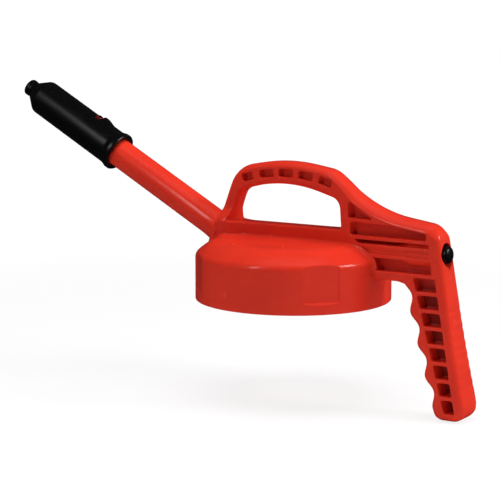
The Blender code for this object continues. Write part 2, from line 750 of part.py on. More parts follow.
def make_plug(red, rubber, spout):
    """Shut-off plug: a spider in the tube's end, its pin, and the pin's O-ring."""
    high = TUBE_END - SPIDER_RIM
    low = high - SPIDER_LENGTH
    outer = TUBE_BORE - GAP
    rim = [(outer, low), (outer, high), (outer - SPIDER_RIM, high), (outer - SPIDER_RIM, low)]
    spider = turned("plug_spider", rim, SPOUT_STEPS, red, spout)
    combine(spider, rod("spider_hub", HUB_RADIUS, low, high, 16, spout, math.pi / 16), "UNION")
    for k in range(3):
        angle = math.tau * k / 3
        across = Vector((-math.sin(angle), math.cos(angle), 0.0)) * SPIDER_ARM / 2
        along = Vector((math.cos(angle), math.sin(angle), 0.0))
        rows = []
        for reach in (HUB_RADIUS / 2, outer - SPIDER_RIM / 2):
            foot = along * reach
            rows.append([(*(foot + side * across).xy, z) for side, z in (
                (-1, low + GAP), (1, low + GAP), (1, high - GAP), (-1, high - GAP))])
        combine(spider, swept(f"spider_arm_{k}", rows, None, spout), "UNION")
    combine(spider, rod("hub_bore", PIN_RADIUS + GAP, low - HUB_RADIUS, high + HUB_RADIUS, 16, spout))

    end = SLEEVE_TIP - NOZZLE_TRAVEL - GAP
    head = end - PIN_HEAD_LENGTH
    stop = low - GAP
    centre = TIP_BORE - GAP - PIN_SEAL_SECTION
    floor = centre - PIN_SEAL_SECTION - GAP
    place = end - PIN_HEAD_LENGTH / 3
    nose = PIN_HEAD_RADIUS / 4
    profile = [
        (0.0, stop - HUB_RADIUS / 2),
        (HUB_RADIUS, stop - HUB_RADIUS / 2),
        (HUB_RADIUS, stop),
        (PIN_RADIUS, stop),
        (PIN_RADIUS, head),
        (PIN_HEAD_RADIUS, head + nose),
        *reversed(grooved(PIN_HEAD_RADIUS, floor, place, PIN_SEAL_SECTION + GAP)),
        (PIN_HEAD_RADIUS, end - nose),
        (PIN_HEAD_RADIUS - nose, end),
        (0.0, end),
    ]
    turned("plug_pin", profile, 20, red, spout)
    ring("plug_seal", centre, PIN_SEAL_SECTION, place, 20, rubber, spout)


def make_nozzle(black, rubber, spout):
    """Twist nozzle: turned sleeve, raised cam band, slanting slot for the peg, and wiper ring."""
    bore = TUBE_RADIUS + SLEEVE_PLAY
    wiper = TUBE_RADIUS + GAP + WIPER_SECTION
    groove = wiper + WIPER_SECTION + GAP
    place = SLEEVE_REAR + WIPER_PLACE
    edge = LIP_RADIUS - NECK_RADIUS
    throat = SLEEVE_NECK - NECK_RADIUS / 4
    round_off = (SLEEVE_RADIUS - NECK_RADIUS) / 10
    profile = [
        (bore + SLEEVE_PLAY, SLEEVE_REAR),
        (COLLAR_RADIUS - edge, SLEEVE_REAR),
        (COLLAR_RADIUS, SLEEVE_REAR + 3 * edge),
        (COLLAR_RADIUS, SLEEVE_REAR + COLLAR_LENGTH / 2),
        (SLEEVE_RADIUS, SLEEVE_REAR + COLLAR_LENGTH),
        (SLEEVE_RADIUS, SLEEVE_SHOULDER - 3 * round_off),
        (SLEEVE_RADIUS - round_off / 2, SLEEVE_SHOULDER - round_off),
        (SLEEVE_RADIUS - 2 * round_off, SLEEVE_SHOULDER + round_off),
        (NECK_RADIUS, SLEEVE_NECK),
        (NECK_RADIUS, SLEEVE_TIP - 5 * edge),
        (LIP_RADIUS, SLEEVE_TIP - 3 * edge),
        (LIP_RADIUS, SLEEVE_TIP - edge),
        (NECK_RADIUS, SLEEVE_TIP),
        (TIP_BORE, SLEEVE_TIP),
        (TIP_BORE, throat),
        (bore, SLEEVE_SHOULDER - bore / 3),
        *grooved(bore, groove, place, WIPER_SECTION + GAP),
        (bore, SLEEVE_REAR + SLEEVE_PLAY),
    ]
    sleeve = turned("nozzle_sleeve", profile, SPOUT_STEPS, black, spout)
    ring("nozzle_wiper_ring", wiper, WIPER_SECTION, place, SPOUT_STEPS, rubber, spout)

    lead = NOZZLE_TRAVEL / NOZZLE_TURN
    buried = (bore + SLEEVE_RADIUS) / 2
    crown = SLEEVE_RADIUS + CAM_HEIGHT
    overlap = PEG_RADIUS / bore
    rows = []
    for k in range(13):
        angle = -overlap + (NOZZLE_TURN + 2 * overlap) * k / 12
        middle = PEG_PLACE + lead * angle
        rows.append([
            polar(buried, angle, middle - CAM_LENGTH),
            polar(SLEEVE_RADIUS, angle, middle - CAM_LENGTH),
            polar(crown, angle, middle - CAM_LENGTH / 2),
            polar(crown, angle, middle - PEG_RADIUS),
            polar(buried, angle, middle - PEG_RADIUS),
        ])
    combine(sleeve, swept("cam_band", rows, None, spout), "UNION")

    run = Vector((bore * NOZZLE_TURN, NOZZLE_TRAVEL))
    along = run.normalized()
    across = Vector((-along.y, along.x))
    half = PEG_RADIUS + 2 * GAP
    stations = []
    for k in range(1, 5):
        bend = math.pi / 2 * k / 4
        stations.append((-half * math.cos(bend), half * math.sin(bend)))
    stations.extend((run.length * k / 8, half) for k in range(1, 8))
    stations.extend((run.length - reach, width) for reach, width in reversed(stations[:4]))
    rows = []
    for reach, width in stations:
        row = []
        corners = ((-1, TUBE_RADIUS), (-1, 2 * TUBE_RADIUS), (1, 2 * TUBE_RADIUS), (1, TUBE_RADIUS))
        for side, radius in corners:
            point = along * reach + across * width * side
            row.append(polar(radius, point.x / bore, PEG_PLACE + point.y))
        rows.append(row)
    combine(sleeve, swept("peg_slot", rows, None, spout))


def make_vent(black, rubber, steel, vent):
    """Air vent: bush, button, valve stem, spring and the two seals."""
    outer = CHAMBER_RADIUS - GAP
    cavity = BUTTON_RADIUS + GAP
    stem_hole = STEM_RADIUS + 2 * GAP
    web = BUSH_INNER + BUSH_WEB
    flange = RECESS_FLOOR + GAP
    seal_centre = CHAMBER_RADIUS - GAP - PIN_SEAL_SECTION
    seal_place = BUSH_INNER + BUSH_WEB / 2
    floor = seal_centre - PIN_SEAL_SECTION - GAP
    profile = [
        (stem_hole, BUSH_INNER),
        (outer, BUSH_INNER),
        *reversed(grooved(outer, floor, seal_place, PIN_SEAL_SECTION + GAP)),
        (outer, flange),
        (RECESS_RADIUS - GAP, flange),
        (RECESS_RADIUS - GAP, flange + BUSH_FLANGE),
        (cavity, flange + BUSH_FLANGE),
        (cavity, web),
        (stem_hole, web),
    ]
    turned("vent_bush", profile, VENT_STEPS, black, vent)
    ring("vent_bush_seal", seal_centre, PIN_SEAL_SECTION, seal_place, VENT_STEPS, rubber, vent)

    under = BUTTON_TIP - BUTTON_LENGTH
    socket = STEM_RADIUS + GAP
    socket_top = under + BUTTON_LENGTH / 2
    profile = [(0.0, socket_top), (socket, socket_top), (socket, under), (BUTTON_RADIUS, under)]
    for k in range(6):
        bend = math.pi / 2 * k / 5
        profile.append((BUTTON_RADIUS * math.cos(bend), BUTTON_TIP - BUTTON_DOME * (1 - math.sin(bend))))
    turned("vent_button", profile, VENT_STEPS, black, vent)

    seal_middle = BUSH_INNER - GAP - VALVE_SEAL_SECTION
    disc = seal_middle - VALVE_SEAL_SECTION - GAP
    profile = [
        (0.0, disc - VALVE_THICKNESS),
        (VALVE_RADIUS, disc - VALVE_THICKNESS),
        (VALVE_RADIUS, disc),
        (STEM_RADIUS, disc),
        (STEM_RADIUS, socket_top - GAP),
        (0.0, socket_top - GAP),
    ]
    turned("vent_stem", profile, VENT_STEPS, black, vent)
    ring("vent_valve_seal", VALVE_RADIUS - VALVE_SEAL_SECTION - GAP / 2, VALVE_SEAL_SECTION, seal_middle,
         VENT_STEPS, rubber, vent)

    low = web + GAP + SPRING_WIRE
    high = under - GAP - SPRING_WIRE
    count = 14 * SPRING_TURNS
    rows = []
    for k in range(count + 1):
        angle = math.tau * SPRING_TURNS * k / count
        middle = low + (high - low) * k / count
        row = []
        for corner in range(5):
            bend = math.tau * corner / 5
            radius = SPRING_RADIUS + SPRING_WIRE * math.cos(bend)
            row.append(polar(radius, angle, middle + SPRING_WIRE * math.sin(bend)))
        rows.append(row)
    swept("vent_spring", rows, steel, vent)


def build():
    """Make every piece of the lid."""
    clear_scene()
    red = material("red_moulding", RED, 0.38)
    black = material("black_moulding", BLACK, 0.30)
    rubber = material("rubber", RUBBER, 0.75)
    steel = material("spring_steel", STEEL, 0.30, 1.0)
    spout = empty("spout_axis", (SPOUT_ROOT, 0.0, LID_TOP), SPOUT_RISE - math.pi / 2)
    vent = empty("vent_axis", (0.0, 0.0, VENT_HEIGHT), math.pi / 2)

    bore = vent_bore(vent)
    cap = make_cap(red)
    combine(cap, bore)
    fit_socket(cap, spout)
    make_gasket(rubber)
    fit_frame(make_frame(red), spout, vent, bore)
    make_tube(red, rubber, spout)
    make_plug(red, rubber, spout)
    make_nozzle(black, rubber, spout)
    make_vent(black, rubber, steel, vent)


build()
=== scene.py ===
"""Looks of a screw-on pouring lid: fine surfaces, moulded finishes, a white stage and a camera.

Metres, +Z up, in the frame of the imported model. The origin is on the cap's axis, in the plane of its
lower rim; +X points from the spout to the grip, and the handle is symmetrical about Y = 0.
"""

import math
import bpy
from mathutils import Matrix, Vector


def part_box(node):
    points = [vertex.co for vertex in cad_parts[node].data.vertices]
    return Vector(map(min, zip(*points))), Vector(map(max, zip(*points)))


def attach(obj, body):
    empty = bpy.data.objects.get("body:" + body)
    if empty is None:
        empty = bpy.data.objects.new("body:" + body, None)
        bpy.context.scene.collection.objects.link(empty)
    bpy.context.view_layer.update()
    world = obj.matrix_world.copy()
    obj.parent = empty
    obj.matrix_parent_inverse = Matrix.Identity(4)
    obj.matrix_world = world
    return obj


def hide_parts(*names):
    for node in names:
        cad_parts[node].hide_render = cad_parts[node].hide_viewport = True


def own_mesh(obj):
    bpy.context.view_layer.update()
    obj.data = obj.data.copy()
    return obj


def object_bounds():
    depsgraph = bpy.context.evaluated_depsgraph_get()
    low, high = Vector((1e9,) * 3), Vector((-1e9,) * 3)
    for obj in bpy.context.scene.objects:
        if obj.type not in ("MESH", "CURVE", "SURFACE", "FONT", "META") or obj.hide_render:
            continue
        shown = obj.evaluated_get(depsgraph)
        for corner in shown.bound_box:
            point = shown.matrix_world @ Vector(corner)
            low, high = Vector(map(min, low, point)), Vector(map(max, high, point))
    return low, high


bl_info = {
    "name": "Drum pouring lid",
    "version": (1, 0, 0),
    "blender": (4, 5, 0),
    "location": "3D View > Sidebar > Pouring lid",
    "description": "Builds the fine surfaces and finishes of a drum pouring lid over its packed model",
    "category": "Add Mesh",
}

import bmesh
import bpy
import numpy as np
from bpy.props import FloatProperty, FloatVectorProperty, IntProperty, PointerProperty
from mathutils import Vector
from mathutils.geometry import delaunay_2d_cdt

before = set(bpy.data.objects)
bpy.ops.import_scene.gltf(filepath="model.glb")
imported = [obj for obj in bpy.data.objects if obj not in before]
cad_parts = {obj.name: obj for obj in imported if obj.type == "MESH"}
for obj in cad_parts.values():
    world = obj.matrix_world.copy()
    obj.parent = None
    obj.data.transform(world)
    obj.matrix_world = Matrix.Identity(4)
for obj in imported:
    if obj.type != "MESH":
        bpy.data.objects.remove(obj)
CAD_BOX = [list(corner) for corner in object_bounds()]
CAP_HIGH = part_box("lid_cap")[1]
FRAME_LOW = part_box("handle_frame")[0]

# Cap: its flat top lies a little below the solid's, so that the bar above it stands free; the skirt's
# rows are heights as (first, last, count)
TOP_DROP = 0.0030
SKIRT_ROWS = ((0.0016, 0.0054, 5), (0.0058, 0.0078, 26), (0.009, 0.021, 8))
FLAT_PLACES = np.radians((-43.5, 43.5, 136.5, 223.5))
FLAT_EDGE = np.radians(np.linspace(-1.2, 1.2, 13))
FLAT_WALL = 3.0
SEAT_DROP = 0.0011
SEAT_WIDTH = 0.0038
GASKET_WIDTH = 0.0032
GASKET_THICKNESS = 0.0023
THREAD_TURNS = 1.5
THREAD_START = 0.0055
THREAD_SINK = 0.0009

# Handle outline in X and Z, and the steps of its mesh
LEG_FOOT = 0.0294
SPINE_FOOT = (0.0085, 0.020)
LEG_FRONT = -0.0504
LEG_FRONT_HEIGHT = 0.0552
LEG_LEAN = math.radians(20.6)
ARCH_CENTRE = -0.0027
ARCH_CREST = 0.0892
ARCH_SLOPE = 0.176
ARCH_REAR_SLOPE = 0.160
ARCH_ROUND = 0.115
ARCH_FRONT_ROUND = 0.022
ARCH_REAR = 0.0306
ARCH_REAR_ROUND = 0.018
ARCH_REAR_HEIGHT = ARCH_CREST - (ARCH_REAR - ARCH_CENTRE) * ARCH_REAR_SLOPE
ARM_BEND = (0.0600, 0.0601)
ARM_BEND_ROUND = 0.079
ARM_REAR_HEIGHT = 0.0536
ARM_REAR_ROUND = 0.0115
ARM_UNDERSIDE = 0.0186
ARM_UNDERSIDE_ROUND = 0.0032
VENT_HEIGHT = 0.0364
REAR_AT_VENT = 0.1081
REAR_RAKE = 0.19
REAR_HOLLOW = 0.0010
HEEL_ROUND = 0.009
TOE_ROUND = 0.006
FINGER_TOP = (0.0817, 0.0197)
FINGER_LEAN = math.radians(16.0)
FINGER_START = 0.125
GRIP_BOTTOM = FRAME_LOW.z
CROWN_START = -0.0500
SPINE_TOP = 0.0474
WINDOW_CORNERS = (
    (-0.0446, SPINE_TOP, 0.0014),
    (0.0385, SPINE_TOP, 0.0025),
    (0.0362, 0.0657, 0.0080),
    (ARCH_CENTRE, 0.0766, 0.092),
    (-0.0357, 0.0684, 0.0075),
)
OUTLINE_STEP = 0.0008
FACE_STEP = 0.0016

# Where widths and edges of the handle change, each from none to full, and how flat the top edge gets
ARM_WIDENS_X = (0.0208, 0.0575)
ROOT_WIDENS_X = (-0.0312, -0.0472)
ROOT_WIDENS_Z = (0.0570, 0.0470)
RIDGES_BELOW_Z = (0.008, 0.001)
RIDGES_ABOVE_Z = (-0.050, -0.043)
PALM_DEPTH = (0.0006, 0.0001)
FOOT_EDGE_Z = (-0.045, -0.058)
FOOT_EDGE_X = (0.098, 0.108)
LEG_EDGE_X = (-0.022, -0.032)
LEG_EDGE_Z = (0.072, 0.060)
SPINE_EDGE_Z = (0.0680, 0.0480)
TOP_EDGE_Z = (0.0460, 0.0520)
ARM_EDGE_X = (0.038, 0.048)
TOP_EASE = 0.5

# Pockets between the ribs of the handle
ARM_RIBS = (0.0544, 0.0440, 0.0395, 0.0334, 0.0233)
POCKET_FRONT = (0.0436, 0.0452, 0.0514, 0.0600)
POCKET_REAR = (0.0973, 0.0993, 0.1016)
POCKET_SKEW = 0.004
FIRST_POCKET = 0.0178
BEND_POCKET = 0.012
SHALLOW_POCKET = 0.0008
FLANGE = 0.0054
GRIP_FLANGE = 0.0069
GRIP_FOOT = 0.0052
RUNG_FRONT = 0.0082
RUNG_COUNT = 8
ARCH_POCKET_PITCH = 0.01435
ARCH_POCKET_LENGTHS = (0.0082, 0.0104, 0.0104, 0.0104, 0.0096)
ARCH_POCKET_HEIGHT = 0.0052
ARCH_POCKET_SHIFT = 0.0006
ARCH_MID = 0.0804
ARCH_MID_RADIUS = 0.110

# Fillets along the cap, and the flare at the spout's root
FILLET_LOWEST_FRONT = 0.0345
FILLET_SINK = 0.00008
FILLET_END = 0.15
FILLET_FADE = 0.06
FILLET_BURIED = 0.25
FLARE_START = -0.0034
FLARE_LENGTH = 0.0150
FLARE_LEAST = 0.0002
FLARE_SIDES = (0.35, 1.35)
FLARE_SINK = 0.00005
FLARE_BURIED = 0.0008

# Spout along its own axis: root, socket in the cap, seals and guide peg
SPOUT_ROOT = -0.0546
SPOUT_HEIGHT = CAP_HIGH.z
CUT = 0.04
SOCKET_DEPTH = 0.008
SOCKET_LENGTH = 0.019
SOCKET_WALL = 0.0031
SOCKET_SINK = 0.0006
SEAL_PLACES = (0.136, 0.144)
SEAL_CENTRE = 0.0088
SEAL_SECTION = 0.0008
PEG_PLACE = 0.1184
PEG_HOLE_RISE = 0.0105

# Shut-off plug in the spout's end
SPIDER_INSET = 0.0012
SPIDER_LENGTH = 0.0060
SPIDER_WALL = 0.0012
SPIDER_ARM_HALF = 0.0007
SPIDER_ARM_ROOT = 0.0013
HUB_RADIUS = 0.0027
HUB_BORE = 0.0018
PIN_RADIUS = 0.0015
PIN_HEAD = 0.0031
PIN_HEAD_LENGTH = 0.0068
PIN_BEVEL = 0.0008
PIN_GROOVE = 0.0021
PIN_GROOVE_HALF = 0.0009
PIN_SEAL = (0.0030, 0.0006)

# Twist nozzle: bore, cone, slot and wiper ring; a groove is its floor's radius and half of its width
BORE_BEVEL = 0.0004
CONE_SETBACK = 0.0003
SLOT_OVERCUT = (0.0004, 0.004)
WIPER_PLACE = 0.0044
WIPER_SECTION = 0.00075
WIPER_GROOVE = (0.0116, 0.00105)

# Air vent along +X: bore and housing in the handle, bush, button, stem, seals and spring
DUCT = (0.03, 0.09)
CHAMBER_INNER = 0.0828
RECESS_FLOOR = 0.1038
NOTCH_INSET = 0.0015
NOTCH_OUTER = 0.1125
NOTCH_DROP = 1.3
BEYOND_PALM = 0.125
HOUSING_FRONT = 0.0700
HOUSING_NOSE = 0.0034
HOUSING_SHOULDER = 0.002
HOUSING_WALL = 0.0016
BUSH_INNER = 0.0928
BUSH_WEB = 0.0026
BUSH_BORE = 0.0023
BUSH_FLANGE = 0.0015
BUSH_GROOVE = (0.0049, 0.0009)
BUSH_SEAL = (0.0058, 0.0006)
BUTTON_LENGTH = 0.0086
BUTTON_HOLE = (0.0020, 0.0043)
BUTTON_BEVEL = 0.0003
DOME_POWER = 0.8
STEM_RADIUS = 0.0017
DISC_RADIUS = 0.0046
DISC_THICKNESS = 0.0022
VALVE_SEAL = (0.0035, 0.00095)
WIRE = 0.0004
COIL_RADIUS = 0.0039
COIL_TURNS = 4

# Fits and shading: play between pieces, how deep the handle sits in the cap, least corner round, and
# the angle from which an edge stays sharp
GAP = 0.0003
CAP_SINK = 0.0014
LEAST_ROUND = 0.00015
CREASE = math.radians(30.0)

# Stage: floor, lamps as (name, place, size, whether it shows in reflections), and camera
WHITE = (1.0, 1.0, 1.0, 1.0)
FLOOR_COLOUR = (0.90, 0.90, 0.90, 1.0)
FLOOR_GLOW = 1.04
FLOOR_SHADOW = 0.20
FLOOR_FADE = (0.3, 0.9)
FLOOR_HALF = 3.0
FLOOR_GAP = 0.0004
LAMPS = (
    ("overhead", (0.05, -0.12, 1.10), (0.9, 0.7), False),
    ("rear", (0.72, 0.62, 0.30), (0.5, 0.5), False),
    ("right", (0.84, 0.17, 0.58), (0.26, 0.26), True),
    ("front", (-0.34, -1.05, 0.65), (0.06, 0.50), True),
)
SENSOR_WIDTH = 36.0


def length(name, default, description):
    """A length in metres that a user may change."""
    return FloatProperty(name=name, description=description, default=default, min=0.0, precision=5,
                         unit="LENGTH")


def angle(name, degrees, description):
    """An angle that a user may change."""
    return FloatProperty(name=name, description=description, default=math.radians(degrees),
                         subtype="ANGLE")


def share(name, default, description):
    """A number from 0 to 1 that a user may change."""
    return FloatProperty(name=name, description=description, default=default, min=0.0, max=1.0,
                         subtype="FACTOR")


def colour(name, default, description):
    """A linear colour that a user may change."""
    return FloatVectorProperty(name=name, description=description, default=default, min=0.0, max=1.0,
                               size=3, subtype="COLOR")


def power(name, default, description):
    """A lamp's power in watts."""
    return FloatProperty(name=name, description=description, default=default, min=0.0, subtype="POWER")


class CapSizes(bpy.types.PropertyGroup):
    """Sizes of the cap and its gasket."""

    radius: length("Radius", CAP_HIGH.y, "Outer radius of the skirt")
    top: length("Height", CAP_HIGH.z - TOP_DROP, "Height of the flat top above the rim")
    wall: length("Wall", 0.0028, "Thickness of the cap's wall")
    shoulder: length("Shoulder", 0.0294, "Height where the skirt turns into the shoulder")
    slope: angle("Slope", 39.0, "Slope of the shoulder")
    shoulder_round: length("Shoulder round", 0.0052, "Radius between skirt and shoulder")
    top_round: length("Top round", 0.025, "Radius between shoulder and top")
    rim_round: length("Rim round", 0.0010, "Radius of the lower rim")
    flat_half: angle("Flat", 10.5, "Half of the angle that each flat on the skirt takes")
    flat_bottom: length("Flat foot", 0.0062, "Height of the ledge below each flat")
    flat_step: length("Flat step", 0.0004, "Depth of each flat at its sides")
    flat_soft: length("Flat edge", 0.00012, "Softness of the flats' moulded edges")
    thread_pitch: length("Thread pitch", 0.00635, "Rise of the inside thread in one turn")
    thread_depth: length("Thread depth", 0.0016, "Height of the inside thread")


class HandleSizes(bpy.types.PropertyGroup):
    """Sizes of the handle frame."""

    slim: length("Loop half width", 0.0065, "Half of the carry loop's width")
    arm: length("Arm half width", 0.0087, "Half of the arm's width")
    grip: length("Grip half width", 0.0117, "Half of the grip's width at its foot")
    nose: length("Root half width", 0.0117, "Half of the width where the spout leaves the leg")
    web: length("Web half width", 0.0020, "Half of the web between opposite pockets")
    rim: length("Rim round", 0.0032, "Radius along the handle's outer edges")
    arm_rim: length("Arm rim", 0.0044, "Edge radius along the top of the arm")
    window_rim: length("Window round", 0.0028, "Radius along the edges of the carry loop's window")
    root_rim: length("Root round", 0.0038, "Radius along the window's edge at the front leg")
    spine_rim: length("Spine round", 0.0010, "Radius along the window's lower edge")
    foot_rim: length("Foot round", 0.0040, "Radius along the edges of the grip's foot")
    rib: length("Rib half width", 0.0010, "Half of a rib's thickness")
    corner: length("Pocket corner", 0.0013, "Corner radius of the pockets")
    edge: length("Pocket edge", 0.00045, "Radius of the pockets' outer edges")
    floor: length("Pocket floor", 0.0006, "Radius between a pocket's wall and its floor")
    draft: length("Pocket draft", 0.00025, "How much a pocket narrows towards its floor")
    fillet: length("Root fillet", 0.0026, "Radius where the handle runs into the cap")
    finger_pitch: length("Finger pitch", 0.020, "Distance between finger grooves")
    finger_depth: length("Finger depth", 0.0036, "Depth of the finger grooves")
    fingers: IntProperty(name="Fingers", description="Number of finger grooves", default=4, min=1)
    crown: length("Foot crown", 0.0026, "How much the grip narrows at its very foot")
    ridge: length("Palm ridge", 0.00028, "Height of the small ridges on the palm face")
    ridge_pitch: length("Palm pitch", 0.0058, "Distance between the small ridges on the palm face")


class SpoutSizes(bpy.types.PropertyGroup):
    """Sizes of the spout tube, its peg and its shut-off plug."""

    rise: angle("Rise", 28.9, "Angle of the spout above the horizon")
    radius: length("Radius", 0.0095, "Outer radius of the tube")
    bore: length("Bore", 0.00635, "Inner radius of the tube")
    end: length("Length", 0.152, "Length of the tube outside the cap")
    peg: length("Peg", 0.0025, "Radius of the peg that guides the nozzle")
    fillet: length("Root fillet", 0.0024, "Radius where the tube leaves the handle's leg")


class NozzleSizes(bpy.types.PropertyGroup):
    """Sizes of the twist nozzle, measured along the spout."""

    radius: length("Radius", 0.0122, "Outer radius of the sleeve")
    bore: length("Bore", 0.0099, "Inner radius of the sleeve")
    rear: length("Rear", 0.0928, "Place of the rear end")
    shoulder: length("Shoulder", 0.1659, "Place where the cone starts")
    neck: length("Neck", 0.1751, "Place where the tip starts")
    tip: length("Tip", 0.1797, "Place of the front end")
    neck_radius: length("Neck radius", 0.0055, "Radius of the tip")
    lip_radius: length("Lip radius", 0.0058, "Radius of the lip round the tip")
    lip_length: length("Lip length", 0.0026, "Length of the rounded lip at the tip")
    tip_bore: length("Tip bore", 0.0039, "Radius of the outlet")
    collar_radius: length("Collar radius", 0.0133, "Radius of the rear collar")
    collar: length("Collar", 0.003, "Length of the rear collar")
    cam_height: length("Cam height", 0.0016, "Height of the raised cam band")
    cam_length: length("Cam length", 0.013, "Length of the raised cam band")
    travel: length("Travel", 0.008, "How far a quarter turn draws the nozzle back")


class VentSizes(bpy.types.PropertyGroup):
    """Sizes of the air vent in the grip."""

    recess: length("Recess", 0.0074, "Radius of the recess round the button")
    chamber: length("Chamber", 0.0067, "Radius of the valve chamber")
    duct: length("Duct", 0.0022, "Radius of the air duct into the cap")
    button: length("Button", 0.0054, "Radius of the thumb button")
    tip: length("Button tip", 0.1109, "Place of the button's crown")
    dome: length("Button dome", 0.0026, "Height of the button's dome")
    press: length("Press", 0.003, "Travel of the button, which shortens the spring")
    notch: length("Notch", 0.0024, "Length of the pointed notch below the recess")


class Finishes(bpy.types.PropertyGroup):
    """Colours and gloss of the mouldings."""

    red: colour("Red", (0.79, 0.039, 0.0180), "Red moulding")
    red_deep: colour("Deep red", (0.70, 0.031, 0.0170), "Red moulding where the pigment is denser")
    red_rubbed: colour("Rubbed red", (0.86, 0.10, 0.055), "Rubbed patches of the red moulding")
    # Painted shade: a near-black red that stands in for the shade on the guide peg in its slot and on the
    # floors of the grip's pockets
    painted_shade: colour("Grease", (0.012, 0.006, 0.005), "Grease on the guide peg, soil in the grip's pockets")
    black: colour("Black", (0.0018, 0.0018, 0.0021), "Black moulding")
    black_worn: colour("Worn black", (0.0045, 0.0045, 0.0050), "Rubbed parts of the black moulding")
    rubber: colour("Rubber", (0.018, 0.018, 0.019), "Seals and gasket")
    bloom: colour("Bloom", (0.045, 0.045, 0.047), "Dusty bloom on the rubber")
    steel: colour("Steel", (0.55, 0.55, 0.57), "Spring wire")
    oil: colour("Oil", (0.34, 0.33, 0.32), "Oiled parts of the spring wire")
    red_rough: share("Red roughness", 0.16, "Roughness of the red moulding")
    black_rough: share("Black roughness", 0.29, "Roughness of the black moulding")


class StageSettings(bpy.types.PropertyGroup):
    """Camera and lamps."""

    azimuth: angle("Azimuth", 32.0, "Direction of the camera round the object")
    elevation: angle("Elevation", 8.61, "Height of the camera above the horizon")
    target: FloatVectorProperty(name="Target", description="Point the camera looks at", size=3,
                                default=(-0.0326, 0.0, 0.02835), subtype="XYZ", unit="LENGTH")
    distance: length("Distance", 1.1235, "Distance of the camera from its target")
    lens: FloatProperty(name="Lens", description="Focal length in millimetres", default=125.1, min=1.0)
    overhead: power("Overhead", 11.2, "Power of the large soft box above")
    rear: power("Rear", 2.6, "Power of the soft box behind the grip")
    right: power("Right", 4.2, "Power of the small lamp on the grip's side")
    front: power("Front", 2.2, "Power of the strip light at the camera's left")
    ambient: share("Ambient", 0.02, "Strength of the room's even light")


class LidSettings(bpy.types.PropertyGroup):
    """Everything that can be set on the lid."""

    cap: PointerProperty(type=CapSizes, name="Cap", description="Sizes of the cap")
    handle: PointerProperty(type=HandleSizes, name="Handle", description="Sizes of the handle frame")
    spout: PointerProperty(type=SpoutSizes, name="Spout", description="Sizes of the spout")
    nozzle: PointerProperty(type=NozzleSizes, name="Nozzle", description="Sizes of the nozzle")
    vent: PointerProperty(type=VentSizes, name="Vent", description="Sizes of the air vent")
    finish: PointerProperty(type=Finishes, name="Finish", description="Colours and gloss")
    stage: PointerProperty(type=StageSettings, name="Stage", description="Camera and lamps")


class Signal:
    """A socket of a node tree that takes part in Python expressions; each operator adds a Math node."""

    def __init__(self, tree, socket=None):
        self.tree = tree
        self.socket = socket

    def node(self, kind, sockets=None, output=0, **settings):
        """Add a node: its settings first, then the values or links of its sockets."""
        made = self.tree.nodes.new("ShaderNode" + kind)
        for key, value in settings.items():
            setattr(made, key, value)
        for key, value in (sockets or {}).items():
            if isinstance(value, Signal):
                self.tree.links.new(value.socket, made.inputs[key])
            else:
                made.inputs[key].default_value = value
        return Signal(self.tree, made.outputs[output] if made.outputs else None)

    def math(self, operation, first, second):
        """A Math node on two values."""
        return self.node("Math", {0: first, 1: second}, operation=operation)

    def __add__(self, other):
        return self.math("ADD", self, other)

    def __radd__(self, other):
        return self.math("ADD", other, self)

    def __sub__(self, other):
        return self.math("SUBTRACT", self, other)

    def __rsub__(self, other):
        return self.math("SUBTRACT", other, self)

    def __mul__(self, other):
        return self.math("MULTIPLY", self, other)

    def __rmul__(self, other):
        return self.math("MULTIPLY", other, self)


def new_material(name):
    """An empty material, its tree as a Signal, and the Object coordinates in it."""
    made = bpy.data.materials.new(name)
    made.use_nodes = True
    made.node_tree.nodes.clear()
    tree = Signal(made.node_tree)
    return made, tree, tree.node("TexCoord", output="Object")


def finished(made, tree, sockets):
    """A material with its Principled shader linked."""
    tree.node("OutputMaterial", {"Surface": tree.node("BsdfPrincipled", sockets)})
    return made


def noise(tree, place, scale, detail=2.0, stretch=(1.0, 1.0, 1.0)):
    """Noise from 0 to 1 on Object coordinates, with an optional stretch along each axis."""
    mapped = tree.node("Mapping", {"Vector": place, "Scale": stretch})
    return tree.node("TexNoise", {"Vector": mapped, "Scale": scale, "Detail": detail})


def masked(tree, value, low, high):
    """Smooth step of a value from 0 at low to 1 at high."""
    sockets = {"Value": value, "From Min": low, "From Max": high}
    return tree.node("MapRange", sockets, interpolation_type="SMOOTHSTEP")


def mixed(tree, factor, first, second):
    """Mix of two colours, each a Signal or three numbers."""
    first, second = [c if isinstance(c, Signal) else (*c, 1.0) for c in (first, second)]
    return tree.node("Mix", {"Factor": factor, 6: first, 7: second}, 2, data_type="RGBA")


def bumped(tree, height, strength, distance=0.0001):
    """Normal bent by a height, where 1 stands for the distance in metres."""
    return tree.node("Bump", {"Height": height, "Strength": strength, "Distance": distance})


def coordinate(tree, vector, axis):
    """One coordinate of a vector."""
    return tree.node("SeparateXYZ", {"Vector": vector}, axis)


